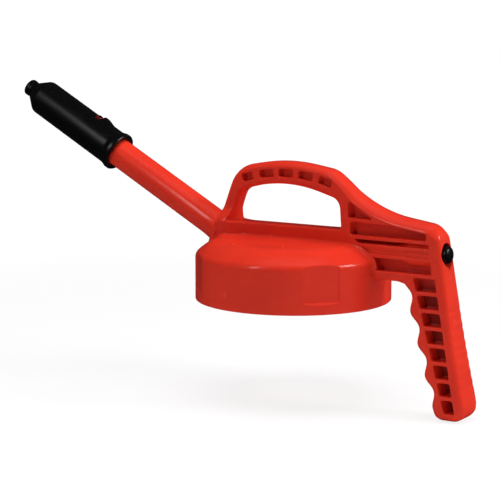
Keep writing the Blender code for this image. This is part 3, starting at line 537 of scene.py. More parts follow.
def red_moulding(name, finish):
    """Satin polyethylene: cloudy pigment, flow lines, fine grain, rubbed patches, and painted shade on the
    floors of the grip's pockets.
    """
    made, tree, place = new_material(name)
    cloud = noise(tree, place, 34.0, 3.0)
    flow = noise(tree, place, 60.0, 4.0, (0.25, 1.0, 1.6))
    rub = masked(tree, noise(tree, place, 140.0, 3.0), 0.58, 0.78)
    pigment = masked(tree, cloud * 0.65 + flow * 0.35, 0.30, 0.72)
    base = mixed(tree, pigment * 0.75, finish.red, finish.red_deep)
    base = mixed(tree, rub * 0.06, base, finish.red_rubbed)
    facing = tree.node("TexCoord", output="Normal")
    # Painted shade: faces turned sideways, near the web and low in the grip (the floors of the grip's
    # pockets) are mixed towards a near-black red
    floor = masked(tree, tree.math("ABSOLUTE", coordinate(tree, facing, "Y"), 0.0), 0.70, 0.95)
    deep = masked(tree, tree.math("ABSOLUTE", coordinate(tree, place, "Y"), 0.0), 0.0060, 0.0030)
    grip = masked(tree, coordinate(tree, place, "Z"), 0.024, 0.012)
    base = mixed(tree, floor * deep * grip * 0.6, base, finish.painted_shade)
    grain = noise(tree, place, 2600.0, 2.0)
    peel = noise(tree, place, 420.0, 2.0)
    return finished(made, tree, {
        "Base Color": base,
        "Roughness": finish.red_rough + cloud * 0.06 + rub * 0.08 + grain * 0.04,
        "Normal": bumped(tree, grain * 0.35 + peel, 0.03),
        "IOR": 1.50,
        "Specular IOR Level": 0.26,
    })


def greased_red(name, finish):
    """Red moulding darkened almost to black by painted shade, in patches that thin out."""
    made, tree, place = new_material(name)
    film = masked(tree, noise(tree, place, 700.0, 3.0), 0.35, 0.70)
    base = mixed(tree, film * 0.2 + 0.75, finish.red_deep, finish.painted_shade)
    return finished(made, tree, {"Base Color": base, "Roughness": 0.22 + film * 0.15})


def black_moulding(name, finish):
    """Black polypropylene: fine spark-eroded grain, with rubbed paler streaks along the piece."""
    made, tree, place = new_material(name)
    grain = noise(tree, place, 1900.0, 3.0)
    streak = masked(tree, noise(tree, place, 90.0, 4.0, (0.5, 2.2, 1.4)), 0.50, 0.75)
    return finished(made, tree, {
        "Base Color": mixed(tree, streak * 0.35 + grain * 0.12, finish.black, finish.black_worn),
        "Roughness": finish.black_rough + streak * 0.08 + grain * 0.06,
        "Normal": bumped(tree, grain, 0.06),
        "IOR": 1.49,
        "Specular IOR Level": 0.45,
    })


def seal_rubber(name, finish):
    """Matt nitrile rubber with a dusty bloom."""
    made, tree, place = new_material(name)
    grain = noise(tree, place, 3200.0, 2.0)
    bloom = masked(tree, noise(tree, place, 160.0, 3.0), 0.45, 0.75)
    return finished(made, tree, {
        "Base Color": mixed(tree, bloom * 0.4, finish.rubber, finish.bloom),
        "Roughness": 0.62 + bloom * 0.18,
        "Normal": bumped(tree, grain, 0.25),
        "Specular IOR Level": 0.35,
    })


def spring_steel(name, finish):
    """Drawn spring wire: fine draw lines and a thin film of oil."""
    made, tree, place = new_material(name)
    lines = noise(tree, place, 2400.0, 3.0, (0.2, 1.0, 1.0))
    film = noise(tree, place, 260.0, 3.0)
    return finished(made, tree, {
        "Base Color": mixed(tree, film * 0.5, finish.steel, finish.oil),
        "Metallic": 1.0,
        "Roughness": 0.22 + film * 0.15,
        "Normal": bumped(tree, lines, 0.15, 0.00005),
    })


FINISHES = {
    "red_moulding": red_moulding,
    "greased_red": greased_red,
    "black_moulding": black_moulding,
    "rubber": seal_rubber,
    "spring_steel": spring_steel,
}


def finish_of(slot, settings):
    """The finish for a material slot of the record, made once."""
    name = f"{slot}_made"
    return bpy.data.materials.get(name) or FINISHES[slot](name, settings.finish)


def unit(vectors):
    """Vectors of length one along the last axis."""
    return vectors / np.linalg.norm(vectors, axis=-1, keepdims=True)


def smooth(low, high, value):
    """Smooth step: 3t^2 - 2t^3 with t the share of the way from low to high, held at its ends."""
    t = np.clip((value - low) / (high - low), 0.0, 1.0)
    return t * t * (3.0 - 2.0 * t)


def soft_min(first, second, width):
    """Smaller of two values with a rounded change-over: (a + b - sqrt((a - b)^2 + w^2)) / 2."""
    return (first + second - np.sqrt((first - second) ** 2 + width ** 2)) / 2


def corner_arcs(corners, steps=6):
    """Tangent arcs of a closed outline whose corners are (u, v, radius), one row of points each.

    The centre lies on the corner's bisector at radius / sin(half angle), and the arc turns from the
    edge before the corner to the edge after it.
    """
    corners = np.asarray(corners, float)
    here = corners[:, :2]
    radius = corners[:, 2:]
    back = unit(np.roll(here, 1, axis=0) - here)
    ahead = unit(np.roll(here, -1, axis=0) - here)
    half = np.arccos(np.clip((back * ahead).sum(1, keepdims=True), -0.999999, 0.999999)) / 2
    centre = here + unit(back + ahead) * radius / np.sin(half)
    arm = here + back * radius / np.tan(half) - centre
    side = np.sign(back[:, :1] * ahead[:, 1:] - back[:, 1:] * ahead[:, :1])
    turn = -side * (np.pi - 2 * half) * np.linspace(0.0, 1.0, steps + 1)
    x = centre[:, :1] + arm[:, :1] * np.cos(turn) - arm[:, 1:] * np.sin(turn)
    y = centre[:, 1:] + arm[:, :1] * np.sin(turn) + arm[:, 1:] * np.cos(turn)
    return np.stack([x, y], -1)


def rounded(corners, steps=6):
    """The arcs of a closed outline in one row, with repeated points left out."""
    points = corner_arcs(corners, steps).reshape(-1, 2)
    moved = np.linalg.norm(points - np.roll(points, 1, axis=0), axis=1)
    return points[moved > 1e-7]


def resampled(points, spacing):
    """Even steps along a closed outline."""
    closed = np.vstack([points, points[:1]])
    run = np.concatenate([[0.0], np.cumsum(np.linalg.norm(np.diff(closed, axis=0), axis=1))])
    places = np.linspace(0.0, run[-1], int(run[-1] / spacing), endpoint=False)
    return np.stack([np.interp(places, run, closed[:, k]) for k in range(2)], -1)


def inset(corners, distance):
    """Corners of a convex outline whose edges have each moved inwards; radii shrink by the same."""
    corners = np.asarray(corners, float)
    here = corners[:, :2]
    run = unit(np.roll(here, -1, axis=0) - here)
    inward = np.stack([-run[:, 1], run[:, 0]], 1)
    before = np.roll(inward, 1, axis=0)
    offsets = np.stack([(before * here).sum(1), (inward * here).sum(1)], 1) + distance
    place = np.linalg.solve(np.stack([before, inward], 1), offsets[..., None])[..., 0]
    return np.column_stack([place, np.maximum(corners[:, 2] - distance, LEAST_ROUND)])


def grid_shape(points, wrap_rows, wrap_columns):
    """Points of a grid in one list, with a quad for each of its cells."""
    rows, columns = points.shape[:2]
    i = np.arange(rows if wrap_rows else rows - 1)[:, None]
    j = np.arange(columns if wrap_columns else columns - 1)[None, :]
    below = (i + 1) % rows
    beside = (j + 1) % columns
    quads = np.stack([i * columns + j, below * columns + j, below * columns + beside,
                      i * columns + beside], -1)
    return points.reshape(-1, 3), quads.reshape(-1, 4).tolist()


def circle(steps):
    """Even angles round a full turn."""
    return np.linspace(0.0, 2 * np.pi, steps, endpoint=False)


def cylindrical(radius, t, height):
    """Points (r cos t, r sin t, h) round local Z."""
    return np.stack(np.broadcast_arrays(radius * np.cos(t), radius * np.sin(t), height), -1)


def turned(profile, steps, closed=True, start=0.0):
    """Surface of revolution: a profile point (r, h) goes to (r cos t, r sin t, h) round local Z."""
    radius, height = np.asarray(profile, float).T
    return grid_shape(cylindrical(radius, start + circle(steps)[:, None], height), True, closed)


def swept(rows):
    """Closed sections carried along a path, one row each, with a face over both ends."""
    points, faces = grid_shape(rows, False, True)
    count = rows.shape[1]
    last = (rows.shape[0] - 1) * count
    faces.append(list(range(count)))
    faces.append([last + k for k in range(count)])
    return points, faces


def rod(radius, low, high, steps=96, start=0.0):
    """A cylinder on local Z between two heights."""
    return turned([(0, low), (radius, low), (radius, high), (0, high)], steps, False, start)


def torus(radius, section, height, steps=96, sides=16):
    """An O-ring: a circle of the given section carried round local Z."""
    t = circle(sides)
    return turned(np.stack([radius + section * np.cos(t), height + section * np.sin(t)], -1), steps)


def along_spout(shape, settings):
    """Carry a shape from the spout's own axes, Z outward and X its upper side, into the frame."""
    points, faces = shape
    rise = settings.spout.rise
    out = np.array([-math.cos(rise), 0.0, math.sin(rise)])
    upper = np.array([math.sin(rise), 0.0, math.cos(rise)])
    root = np.array([SPOUT_ROOT, 0.0, SPOUT_HEIGHT])
    x, y, z = points.T
    return root + np.outer(x, upper) + np.outer(y, (0.0, 1.0, 0.0)) + np.outer(z, out), faces


def along_vent(shape):
    """Carry a shape from the vent's own axes, Z towards +X and X downward, into the frame."""
    points, faces = shape
    x, y, z = points.T
    return np.stack([z, y, VENT_HEIGHT - x], -1), faces


def new_object(name, *shapes):
    """An object from one or more shapes, its doubles merged and its faces pointing out."""
    points = []
    faces = []
    count = 0
    for more, more_faces in shapes:
        points.append(more)
        faces.extend([[count + k for k in face] for face in more_faces])
        count += len(more)
    points = np.concatenate(points)
    if not np.isfinite(points).all():
        raise RuntimeError(f"{name} has a point that is not a number")
    mesh = bpy.data.meshes.new(name)
    mesh.from_pydata(points.tolist(), [], faces)
    bm = bmesh.new()
    bm.from_mesh(mesh)
    bmesh.ops.remove_doubles(bm, verts=bm.verts, dist=1e-7)
    bmesh.ops.recalc_face_normals(bm, faces=bm.faces)
    bm.to_mesh(mesh)
    bm.free()
    made = bpy.data.objects.new(name, mesh)
    bpy.context.scene.collection.objects.link(made)
    return made


def on_spout(name, shape, settings):
    """An object whose shape is given on the spout's own axes."""
    return new_object(name, along_spout(shape, settings))


def on_vent(name, shape):
    """An object whose shape is given on the vent's own axes."""
    return new_object(name, along_vent(shape))


def combine(piece, other, operation="DIFFERENCE"):
    """Cut another object out of a piece, or join it on, and remove it."""
    modifier = piece.modifiers.new("cut", "BOOLEAN")
    modifier.operation = operation
    modifier.solver = "MANIFOLD"
    modifier.object = other
    graph = bpy.context.evaluated_depsgraph_get()
    result = bpy.data.meshes.new_from_object(piece.evaluated_get(graph))
    if len(result.vertices) in (0, len(piece.data.vertices)):
        raise RuntimeError(f"{other.name} did not change {piece.name} as it should")
    piece.modifiers.clear()
    piece.data = result
    bpy.data.objects.remove(other, do_unlink=True)


def settle(piece, settings, slot, body, *nodes, finish=None):
    """Give a piece its finish and its body, and let it stand for its CAD nodes."""
    piece.data.materials.clear()
    piece.data.materials.append(finish_of(finish or slot, settings))
    piece.data.shade_smooth()
    piece.data.set_sharp_from_angle(angle=CREASE)
    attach(piece, body)
    if nodes:
        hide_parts(*nodes)


def cap_corners(cap, grow=0.0):
    """Corners of the cap's outer profile, grown square to its faces."""
    brow = cap.radius - (cap.top - cap.shoulder) / math.tan(cap.slope)
    return [
        (cap.radius + grow, -grow, cap.rim_round),
        (cap.radius + grow, cap.shoulder + grow * math.tan(math.pi / 4 - cap.slope / 2),
         cap.shoulder_round + grow),
        (brow + grow * math.tan(cap.slope / 2), cap.top + grow, cap.top_round + grow),
        (0.0, cap.top + grow, 0.0),
        (0.0, -grow, 0.0),
    ]


def cap_solid(cap, grow, steps=180):
    """The cap as a full turned solid, for cuts."""
    points = rounded(cap_corners(cap, grow), 10)
    return turned(np.vstack([points[-1:], points[:-1]]), steps, False)


def cap_surface(cap):
    """Cap: profile radius r(z) round Z, with four flats, each between side walls and above a ledge.

    A flat is the plane at R cos(half angle) less its step, its ledge the plane x = foot + R - z, and
    its walls rise by 3R (|sin a| - sin(half angle)), a the angle from the flat's middle. The outside is
    the soft minimum of r(z) and max(flat, ledge, wall) / cos a.
    """
    rim, shoulder, brow = corner_arcs(cap_corners(cap), 14)[:3]
    ledge = np.concatenate([np.linspace(*row) for row in SKIRT_ROWS])
    skirt = np.stack([np.full_like(ledge, cap.radius), ledge], -1)
    top = np.stack([np.linspace(brow[-1, 0], 0.0, 8)[1:], np.full(7, cap.top)], -1)
    outer = np.vstack([rim, skirt, shoulder, brow, top])

    inner_radius = cap.radius - cap.wall
    seat = inner_radius - SEAT_WIDTH
    seat_height = cap.shoulder - SEAT_DROP
    drop = cap.wall / math.cos(cap.slope)
    under = cap.top - cap.wall
    inner = rounded([
        (inner_radius + cap.rim_round / 2, 0.0, 0.0),
        (inner_radius, cap.rim_round / 2, 0.0),
        (inner_radius, seat_height, 0.0003),
        (seat, seat_height, 0.0003),
        (seat, cap.shoulder + (cap.radius - seat) * math.tan(cap.slope) - drop, 0.001),
        (cap.radius - (under - cap.shoulder + drop) / math.tan(cap.slope), under, 0.002),
        (0.0, under, 0.0),
    ], 4)[:-1]
    inner = np.vstack([inner, [(0.0, under)]])

    edges = [place + side * cap.flat_half + FLAT_EDGE for place in FLAT_PLACES for side in (-1, 1)]
    turns = np.mod(np.concatenate([np.radians(np.arange(0, 360, 1.0)), *edges]), 2 * np.pi)
    t = np.unique(np.round(turns, 4))[:, None]
    away = np.abs((t - FLAT_PLACES + np.pi) % (2 * np.pi) - np.pi).min(1, keepdims=True)
    radius, height = outer.T
    flat = cap.radius * math.cos(cap.flat_half) - cap.flat_step
    slope = cap.flat_bottom + cap.radius - height
    wall = flat + FLAT_WALL * cap.radius * (np.abs(np.sin(away)) - math.sin(cap.flat_half))
    cut = -soft_min(soft_min(-flat, -slope, cap.flat_soft), -wall, cap.flat_soft) / np.cos(away)
    outside = np.where(radius > 0.001, soft_min(radius, cut, cap.flat_soft), radius)
    inside_rows = np.broadcast_to(inner[:, 0], (len(t), len(inner)))
    rows = np.concatenate([outside[:, ::-1], inside_rows], 1)
    heights = np.concatenate([height[::-1], inner[:, 1]])
    return grid_shape(cylindrical(rows, t, heights), True, False)


def thread_ridge(cap):
    """Inside thread: a trapezium carried on a helix of the thread's pitch, fading out at both ends."""
    t = np.linspace(0.02, THREAD_TURNS * 2 * np.pi, 240)[:, None]
    middle = THREAD_START + cap.thread_pitch * t / (2 * np.pi)
    root = cap.radius - cap.wall + THREAD_SINK
    fade = np.clip(0.25 + 5.0 * np.minimum(t, t[-1] - t) / t[-1], 0.0, 1.0)
    crest = cap.radius - cap.wall - cap.thread_depth * fade
    reach = np.array([0.0, 0.75, 1.0, 1.0, 0.75, 0.0])
    lift = np.array([-0.0016, -0.0010, -0.0005, 0.0005, 0.0010, 0.0016])
    radius = root + (crest - root) * reach
    return swept(cylindrical(radius, t, middle + lift))


class LID_OT_cap(bpy.types.Operator):
    """Build the cap with its flats, inside thread and spout socket"""

    bl_idname = "pouring_lid.cap"
    bl_label = "Cap"

    def execute(self, context):
        settings = context.scene.pouring_lid
        cap = settings.cap
        spout = settings.spout
        piece = new_object("cap", cap_surface(cap))
        combine(piece, new_object("thread", thread_ridge(cap)), "UNION")
        wall = spout.radius + SOCKET_WALL
        boss = on_spout("socket", rod(wall, -SOCKET_LENGTH, SOCKET_LENGTH, 72), settings)
        combine(boss, new_object("socket_limit", cap_solid(cap, -SOCKET_SINK)), "INTERSECT")
        combine(piece, boss, "UNION")
        bore = [(0.0, -CUT), (spout.bore, -CUT), (spout.bore, -SOCKET_DEPTH),
                (spout.radius, -SOCKET_DEPTH), (spout.radius, CUT), (0.0, CUT)]
        combine(piece, on_spout("bore", turned(bore, 72, False, start=0.02), settings))
        combine(piece, on_vent("duct", rod(settings.vent.duct, *DUCT, 32)))
        settle(piece, settings, "red_moulding", "lid", "lid_cap")
        return {"FINISHED"}


class LID_OT_gasket(bpy.types.Operator):
    """Build the flat gasket under the cap's shoulder"""

    bl_idname = "pouring_lid.gasket"
    bl_label = "Gasket"

    def execute(self, context):
        settings = context.scene.pouring_lid
        cap = settings.cap
        outer = cap.radius - cap.wall - GAP
        inner = outer - GASKET_WIDTH
        top = cap.shoulder - SEAT_DROP - GAP
        low = top - GASKET_THICKNESS
        profile = rounded([(outer, low, 0.0004), (outer, top, 0.0002), (inner, top, 0.0002),
                           (inner, low, 0.0004)], 4)
        piece = new_object("gasket", turned(profile, 240))
        settle(piece, settings, "rubber", "lid", "lid_gasket")
        return {"FINISHED"}


def rear_line(z):
    """X of the grip's raked rear face, without its hollow and ridges."""
    return REAR_AT_VENT + (VENT_HEIGHT - z) * REAR_RAKE


def leg_x(z):
    """X of the front leg's outer face."""
    return LEG_FRONT + (z - LEG_FRONT_HEIGHT) * math.tan(LEG_LEAN)


def finger_edge(handle):
    """Front edge of the grip from arm to toe: grooves of depth d sin^2(pi s) on a leaning line."""
    s = np.linspace(FINGER_START, handle.fingers, 30 * handle.fingers)
    along = np.array([math.sin(FINGER_LEAN), -math.cos(FINGER_LEAN)])
    inward = np.array([math.cos(FINGER_LEAN), math.sin(FINGER_LEAN)])
    depth = handle.finger_depth * np.sin(np.pi * s) ** 2
    return np.array(FINGER_TOP) + np.outer(s * handle.finger_pitch, along) + np.outer(depth, inward)


def grip_share(z):
    """Share of the way from the vent down to the grip's foot, held at its ends."""
    return np.clip((VENT_HEIGHT - z) / (VENT_HEIGHT - GRIP_BOTTOM), 0.0, 1.0)


def handle_outline(handle):
    """Outer outline of the handle, counter-clockwise.

    The palm face has a hollow d sin(pi s) over the grip's share s, and ridges d (cos - 1) / 2 along it.
    """
    fingers = finger_edge(handle)
    crest_drop = (ARCH_CENTRE - leg_x(ARCH_CREST)) * ARCH_SLOPE
    arch_front = (leg_x(ARCH_CREST - crest_drop), ARCH_CREST - crest_drop)
    leg_foot = (leg_x(LEG_FOOT), LEG_FOOT)
    toe = fingers[-1, 0] + (fingers[-1, 1] - GRIP_BOTTOM) * math.tan(FINGER_LEAN)
    start = corner_arcs([
        (*leg_foot, 0.004),
        (leg_foot[0] + SPINE_FOOT[0], SPINE_FOOT[1], 0.004),
        (FINGER_TOP[0] - handle.finger_pitch / 6, ARM_UNDERSIDE, ARM_UNDERSIDE_ROUND),
        (*fingers[0], 0.0),
        (*arch_front, 0.0),
    ], 8)[:3].reshape(-1, 2)
    rest = corner_arcs([
        (*fingers[-1], 0.0),
        (toe, GRIP_BOTTOM, TOE_ROUND),
        (rear_line(GRIP_BOTTOM), GRIP_BOTTOM, HEEL_ROUND),
        (rear_line(ARM_REAR_HEIGHT), ARM_REAR_HEIGHT, ARM_REAR_ROUND),
        (*ARM_BEND, ARM_BEND_ROUND),
        (ARCH_REAR, ARCH_REAR_HEIGHT, ARCH_REAR_ROUND),
        (ARCH_CENTRE, ARCH_CREST, ARCH_ROUND),
        (*arch_front, ARCH_FRONT_ROUND),
        (*leg_foot, 0.0),
    ], 16)[1:-1].reshape(-1, 2)
    x, z = resampled(np.vstack([start, fingers, rest]), OUTLINE_STEP).T
    band = smooth(*RIDGES_ABOVE_Z, z) * smooth(*RIDGES_BELOW_Z, z)
    wave = handle.ridge * (np.cos(2 * np.pi * z / handle.ridge_pitch) - 1) / 2
    palm = smooth(*PALM_DEPTH, np.abs(rear_line(z) - x))
    x = x + palm * (wave * band - REAR_HOLLOW * np.sin(np.pi * grip_share(z)))
    return np.stack([np.minimum(x, CAD_BOX[1][0]), z], -1)


def half_width(handle, x, z):
    """Half of the handle's width: slim loop, wider towards arm, grip foot and spout root.

    Below its crown's start the grip narrows by c (1 - sqrt(1 - s^2)), s the share of the way down.
    """
    arm = smooth(*ARM_WIDENS_X, x)
    nose = smooth(*ROOT_WIDENS_X, x) * smooth(*ROOT_WIDENS_Z, z)
    wide = handle.arm + (handle.grip - handle.arm) * grip_share(z)
    low = np.clip((CROWN_START - z) / (CROWN_START - GRIP_BOTTOM), 0.0, 1.0)
    wide = wide - handle.crown * (1 - np.sqrt(1 - low * low))
    return handle.slim + (wide - handle.slim) * arm + (handle.nose - handle.slim) * nose


def rim_loops(handle, points, radius, ease, steps=7):
    """Loops that carry a rim along an outline: inset r(1 - cos^e a), height h - r(1 - sin^e a).

    The rim is a quarter round where e is 1, and nears a chamfer as e grows.
    """
    run = np.roll(points, -1, axis=0) - np.roll(points, 1, axis=0)
    inward = unit(np.stack([-run[:, 1], run[:, 0]], -1))
    a = np.linspace(0.0, np.pi / 2, steps + 1)[:, None]
    place = points + inward * (radius * (1 - np.clip(np.cos(a), 0.0, 1.0) ** ease))[..., None]
    lift = half_width(handle, place[..., 0], place[..., 1]) - radius * (1 - np.sin(a) ** ease)
    return list(place), list(lift)


def arm_top(x):
    """Height of the arm's upper edge by its straight runs either side of the bend."""
    places = (ARCH_REAR, ARM_BEND[0], rear_line(ARM_REAR_HEIGHT))
    return float(np.interp(x, places, (ARCH_REAR_HEIGHT, ARM_BEND[1], ARM_REAR_HEIGHT)))


def four_sided(fore, aft, low, top, r):
    """Corners of a pocket between two heights; fore and aft are its ends at the lower and the upper one."""
    return [(fore[0], low, r), (aft[0], low, r), (aft[1], top, r), (fore[1], top, r)]


def pocket_corners(handle):
    """Pockets on one side, each as (corners, scale of its small radii, height of its floor)."""
    rib = handle.rib
    r = handle.corner
    web = handle.web
    first, second, third, fourth, fifth = ARM_RIBS
    front = POCKET_FRONT
    rear = POCKET_REAR
    bend = ARM_BEND[0] + BEND_POCKET
    skew = POCKET_SKEW / 4
    pockets = [
        ([(front[0], first + rib, r), (front[0] + FIRST_POCKET, first + rib, r / 2),
          (front[0], arm_top(front[0]) - FLANGE - 1.5 * rib, r)], 1.0, web),
        ([(front[1], second + rib, r), (rear[0], second + rib, r),
          (rear[0], arm_top(rear[0]) - FLANGE, r),
          (bend, min(first - rib, arm_top(bend) - FLANGE), 3 * r),
          (front[1], first - rib, r)], 1.0, web),
        (four_sided((front[2], front[2] - POCKET_SKEW), (rear[1], rear[1]), third + rib, second - rib,
                    r / 2), 0.5, web),
        (four_sided((front[2] + skew, front[2] - skew), (rear[1], rear[1]), fourth + rib, third - rib,
                    r / 2), 0.45, handle.arm - SHALLOW_POCKET),
        (four_sided((front[3] + POCKET_SKEW, front[3]), (rear[2], rear[2] - skew), fifth + rib,
                    fourth - rib, r), 1.0, web),
    ]
    pitch = (fifth + rib - GRIP_BOTTOM - GRIP_FOOT) / RUNG_COUNT
    for k in range(RUNG_COUNT):
        top = fifth - rib - k * pitch
        low = top - pitch + 2 * rib
        fore = [FINGER_TOP[0] + (FINGER_TOP[1] - z) * math.tan(FINGER_LEAN) + RUNG_FRONT
                for z in (low, top)]
        aft = [rear_line(z) - GRIP_FLANGE for z in (low, top)]
        pockets.append((four_sided(fore, aft, low, top, r), 1.0, web))
    for k, size in enumerate(ARCH_POCKET_LENGTHS):
        t = -((k - 2) * ARCH_POCKET_PITCH + ARCH_POCKET_SHIFT) / ARCH_MID_RADIUS
        half = np.array([size, ARCH_POCKET_HEIGHT]) / 2
        u, v = (np.array([(-1, -1), (1, -1), (1, 1), (-1, 1)]) * half + (0.0, ARCH_MID_RADIUS)).T
        x = ARCH_CENTRE + u * math.cos(t) - v * math.sin(t)
        z = ARCH_MID - ARCH_MID_RADIUS + u * math.sin(t) + v * math.cos(t)
        pockets.append((np.column_stack([x, z, np.full(4, r)]), 1.0, web))
    return pockets


def pocket_loops(handle, corners, scale, floor):
    """Loops of one pocket from its outer edge to its floor: edge round, drafted wall, floor round."""
    edge = handle.edge * scale
    draft = handle.draft * scale
    bottom = handle.floor * scale
    places = []
    lifts = []
    for bend in np.linspace(0.0, np.pi / 2, 5):
        loop = rounded(inset(corners, edge * (math.sin(bend) - 1)))
        places.append(loop)
        lifts.append(half_width(handle, *loop.T) - edge * (1 - math.cos(bend)))
    for bend in np.linspace(0.0, np.pi / 2, 4):
        loop = rounded(inset(corners, draft + bottom * (1 - math.cos(bend))))
        places.append(loop)
        lifts.append(np.full(len(loop), floor + bottom * (1 - math.sin(bend))))
    return places, lifts


def inside(points, outline):
    """Which points lie inside a closed outline, by counting the edges that a ray to +X crosses."""
    x, z = points[:, :1], points[:, 1:]
    x0, z0 = outline.T
    x1, z1 = np.roll(outline, -1, axis=0).T
    crosses = (z0 > z) != (z1 > z)
    at = x0 + (z - z0) * (x1 - x0) / np.where(z1 == z0, 1e-12, z1 - z0)
    return (crosses & (x < at)).sum(1) % 2 == 1


def handle_rims(handle, outline, window):
    """Rim loops along outline and window: wider at foot, arm and leg, narrow along the spine."""
    foot = smooth(*FOOT_EDGE_Z, outline[:, 1]) * smooth(*FOOT_EDGE_X, outline[:, 0])
    crest = smooth(*TOP_EDGE_Z, outline[:, 1])
    rail = crest * smooth(*ARM_EDGE_X, outline[:, 0])
    outer = handle.rim + (handle.foot_rim - handle.rim) * foot + (handle.arm_rim - handle.rim) * rail
    leg = smooth(*LEG_EDGE_X, window[:, 0]) * smooth(*LEG_EDGE_Z, window[:, 1])
    inner = handle.window_rim + (handle.root_rim - handle.window_rim) * leg
    inner = inner + (handle.spine_rim - inner) * smooth(*SPINE_EDGE_Z, window[:, 1])
    return rim_loops(handle, outline, outer, 1 + TOP_EASE * crest), rim_loops(handle, window, inner, 1.0)


def open_points(outline, edge, closed):
    """Plain grid of points over the outline, inside one edge and outside closed loops, clear of each."""
    spans = zip(outline.min(0), outline.max(0))
    x, z = np.meshgrid(*[np.arange(low, high, FACE_STEP) for low, high in spans])
    points = np.stack([x.ravel(), z.ravel()], -1)
    points = points[inside(points, edge)]
    for loop in closed:
        points = points[~inside(points, loop)]
    for loop in [edge] + closed:
        near = np.linalg.norm(points[:, None] - loop[None], axis=2).min(1)
        points = points[near > FACE_STEP / 2]
    return points


def handle_surface(handle):
    """Handle: each side is a height field over X and Z on a triangulation that keeps every loop.

    Loops carry the rim along outline and window and the walls of each pocket; a plain grid of points
    fills the open faces. The two sides are mirror images, joined by bands along outline and window.
    """
    outline = handle_outline(handle)
    window = resampled(rounded(WINDOW_CORNERS, 16), OUTLINE_STEP)[::-1]
    (places, lifts), (window_places, window_lifts) = handle_rims(handle, outline, window)
    first_window = len(places)
    edge = places[-1]
    closed = [window_places[-1]]
    places = places + window_places
    lifts = lifts + window_lifts
    for pocket in pocket_corners(handle):
        loops, heights = pocket_loops(handle, *pocket)
        closed.append(loops[0])
        places = places + loops
        lifts = lifts + heights
    starts = np.cumsum([0] + [len(place) for place in places])
    open_face = open_points(outline, edge, closed)

    flat = np.vstack(places + [open_face])
    lift = np.concatenate(lifts + [half_width(handle, *open_face.T)])
    edges = np.concatenate([np.stack([a + np.arange(b - a), a + (np.arange(b - a) + 1) % (b - a)], -1)
                            for a, b in zip(starts, starts[1:])])
    result = delaunay_2d_cdt([Vector(p) for p in flat.tolist()], edges.tolist(), [], 0, 1e-8)
    origin = [source[0] if source else -1 for source in result[3]]
    if min(origin) < 0:
        raise RuntimeError("two loops of the handle cross")
    faces = np.array(origin)[np.array(result[2])]
    loop_of = np.repeat(np.arange(len(starts)), np.append(np.diff(starts), len(open_face)))[faces]
    faces = faces[~((loop_of == 0).all(1) | (loop_of == first_window).all(1))]

    count = len(flat)
    near_side = np.stack([flat[:, 0], lift, flat[:, 1]], -1)
    points = np.concatenate([near_side, near_side * (1.0, -1.0, 1.0)])
    bands = []
    for start, loop in ((0, outline), (starts[first_window], window)):
        i = start + np.arange(len(loop))
        j = start + (np.arange(len(loop)) + 1) % len(loop)
        bands.append(np.stack([i, j, j + count, i + count], -1))
    quads = np.concatenate(bands).tolist()
    return points, faces.tolist() + (faces[:, ::-1] + count).tolist() + quads


def vent_cut(vent):
    """Profile of the vent's bore: air duct, valve chamber and button recess."""
    return [(0.0, DUCT[0]), (vent.duct, DUCT[0]), (vent.duct, CHAMBER_INNER),
            (vent.chamber, CHAMBER_INNER), (vent.chamber, RECESS_FLOOR), (vent.recess, RECESS_FLOOR),
            (vent.recess, BEYOND_PALM), (0.0, BEYOND_PALM)]


def air_notch(vent):
    """Pointed notch below the recess: a triangle that deepens from the recess to the palm face."""
    low = VENT_HEIGHT - vent.recess
    n = vent.notch
    ends = ((RECESS_FLOOR + NOTCH_INSET, low), (NOTCH_OUTER, low - NOTCH_DROP * n))
    rows = [[(x, -n, low + n / 2), (x, n, low + n / 2), (x, 0.0, tip)] for x, tip in ends]
    return swept(np.array(rows))


class LID_OT_handle(bpy.types.Operator):
    """Build the ribbed handle with its carry loop, arm and pistol grip"""

    bl_idname = "pouring_lid.handle"
    bl_label = "Handle"

    def execute(self, context):
        settings = context.scene.pouring_lid
        vent = settings.vent
        piece = new_object("handle", handle_surface(settings.handle))
        wall = vent.chamber + HOUSING_WALL
        rear = RECESS_FLOOR - GAP
        housing = rounded([(0.0, HOUSING_FRONT, 0.0), (HOUSING_NOSE, HOUSING_FRONT, 0.001),
                           (wall, CHAMBER_INNER + HOUSING_SHOULDER, 0.006), (wall, rear, 0.0),
                           (0.0, rear, 0.0)], 8)
        combine(piece, on_vent("housing", turned(housing, 72, False)), "UNION")
        combine(piece, new_object("cap_seat", cap_solid(settings.cap, -CAP_SINK)))
        seat = rod(settings.spout.radius - GAP, -CUT / 2, CUT, 72)
        combine(piece, on_spout("tube_seat", seat, settings))
        combine(piece, on_vent("vent_bore", turned(vent_cut(vent), 96, False)))
        combine(piece, new_object("air_notch", air_notch(vent)))
        settle(piece, settings, "red_moulding", "lid", "handle_frame")
        return {"FINISHED"}


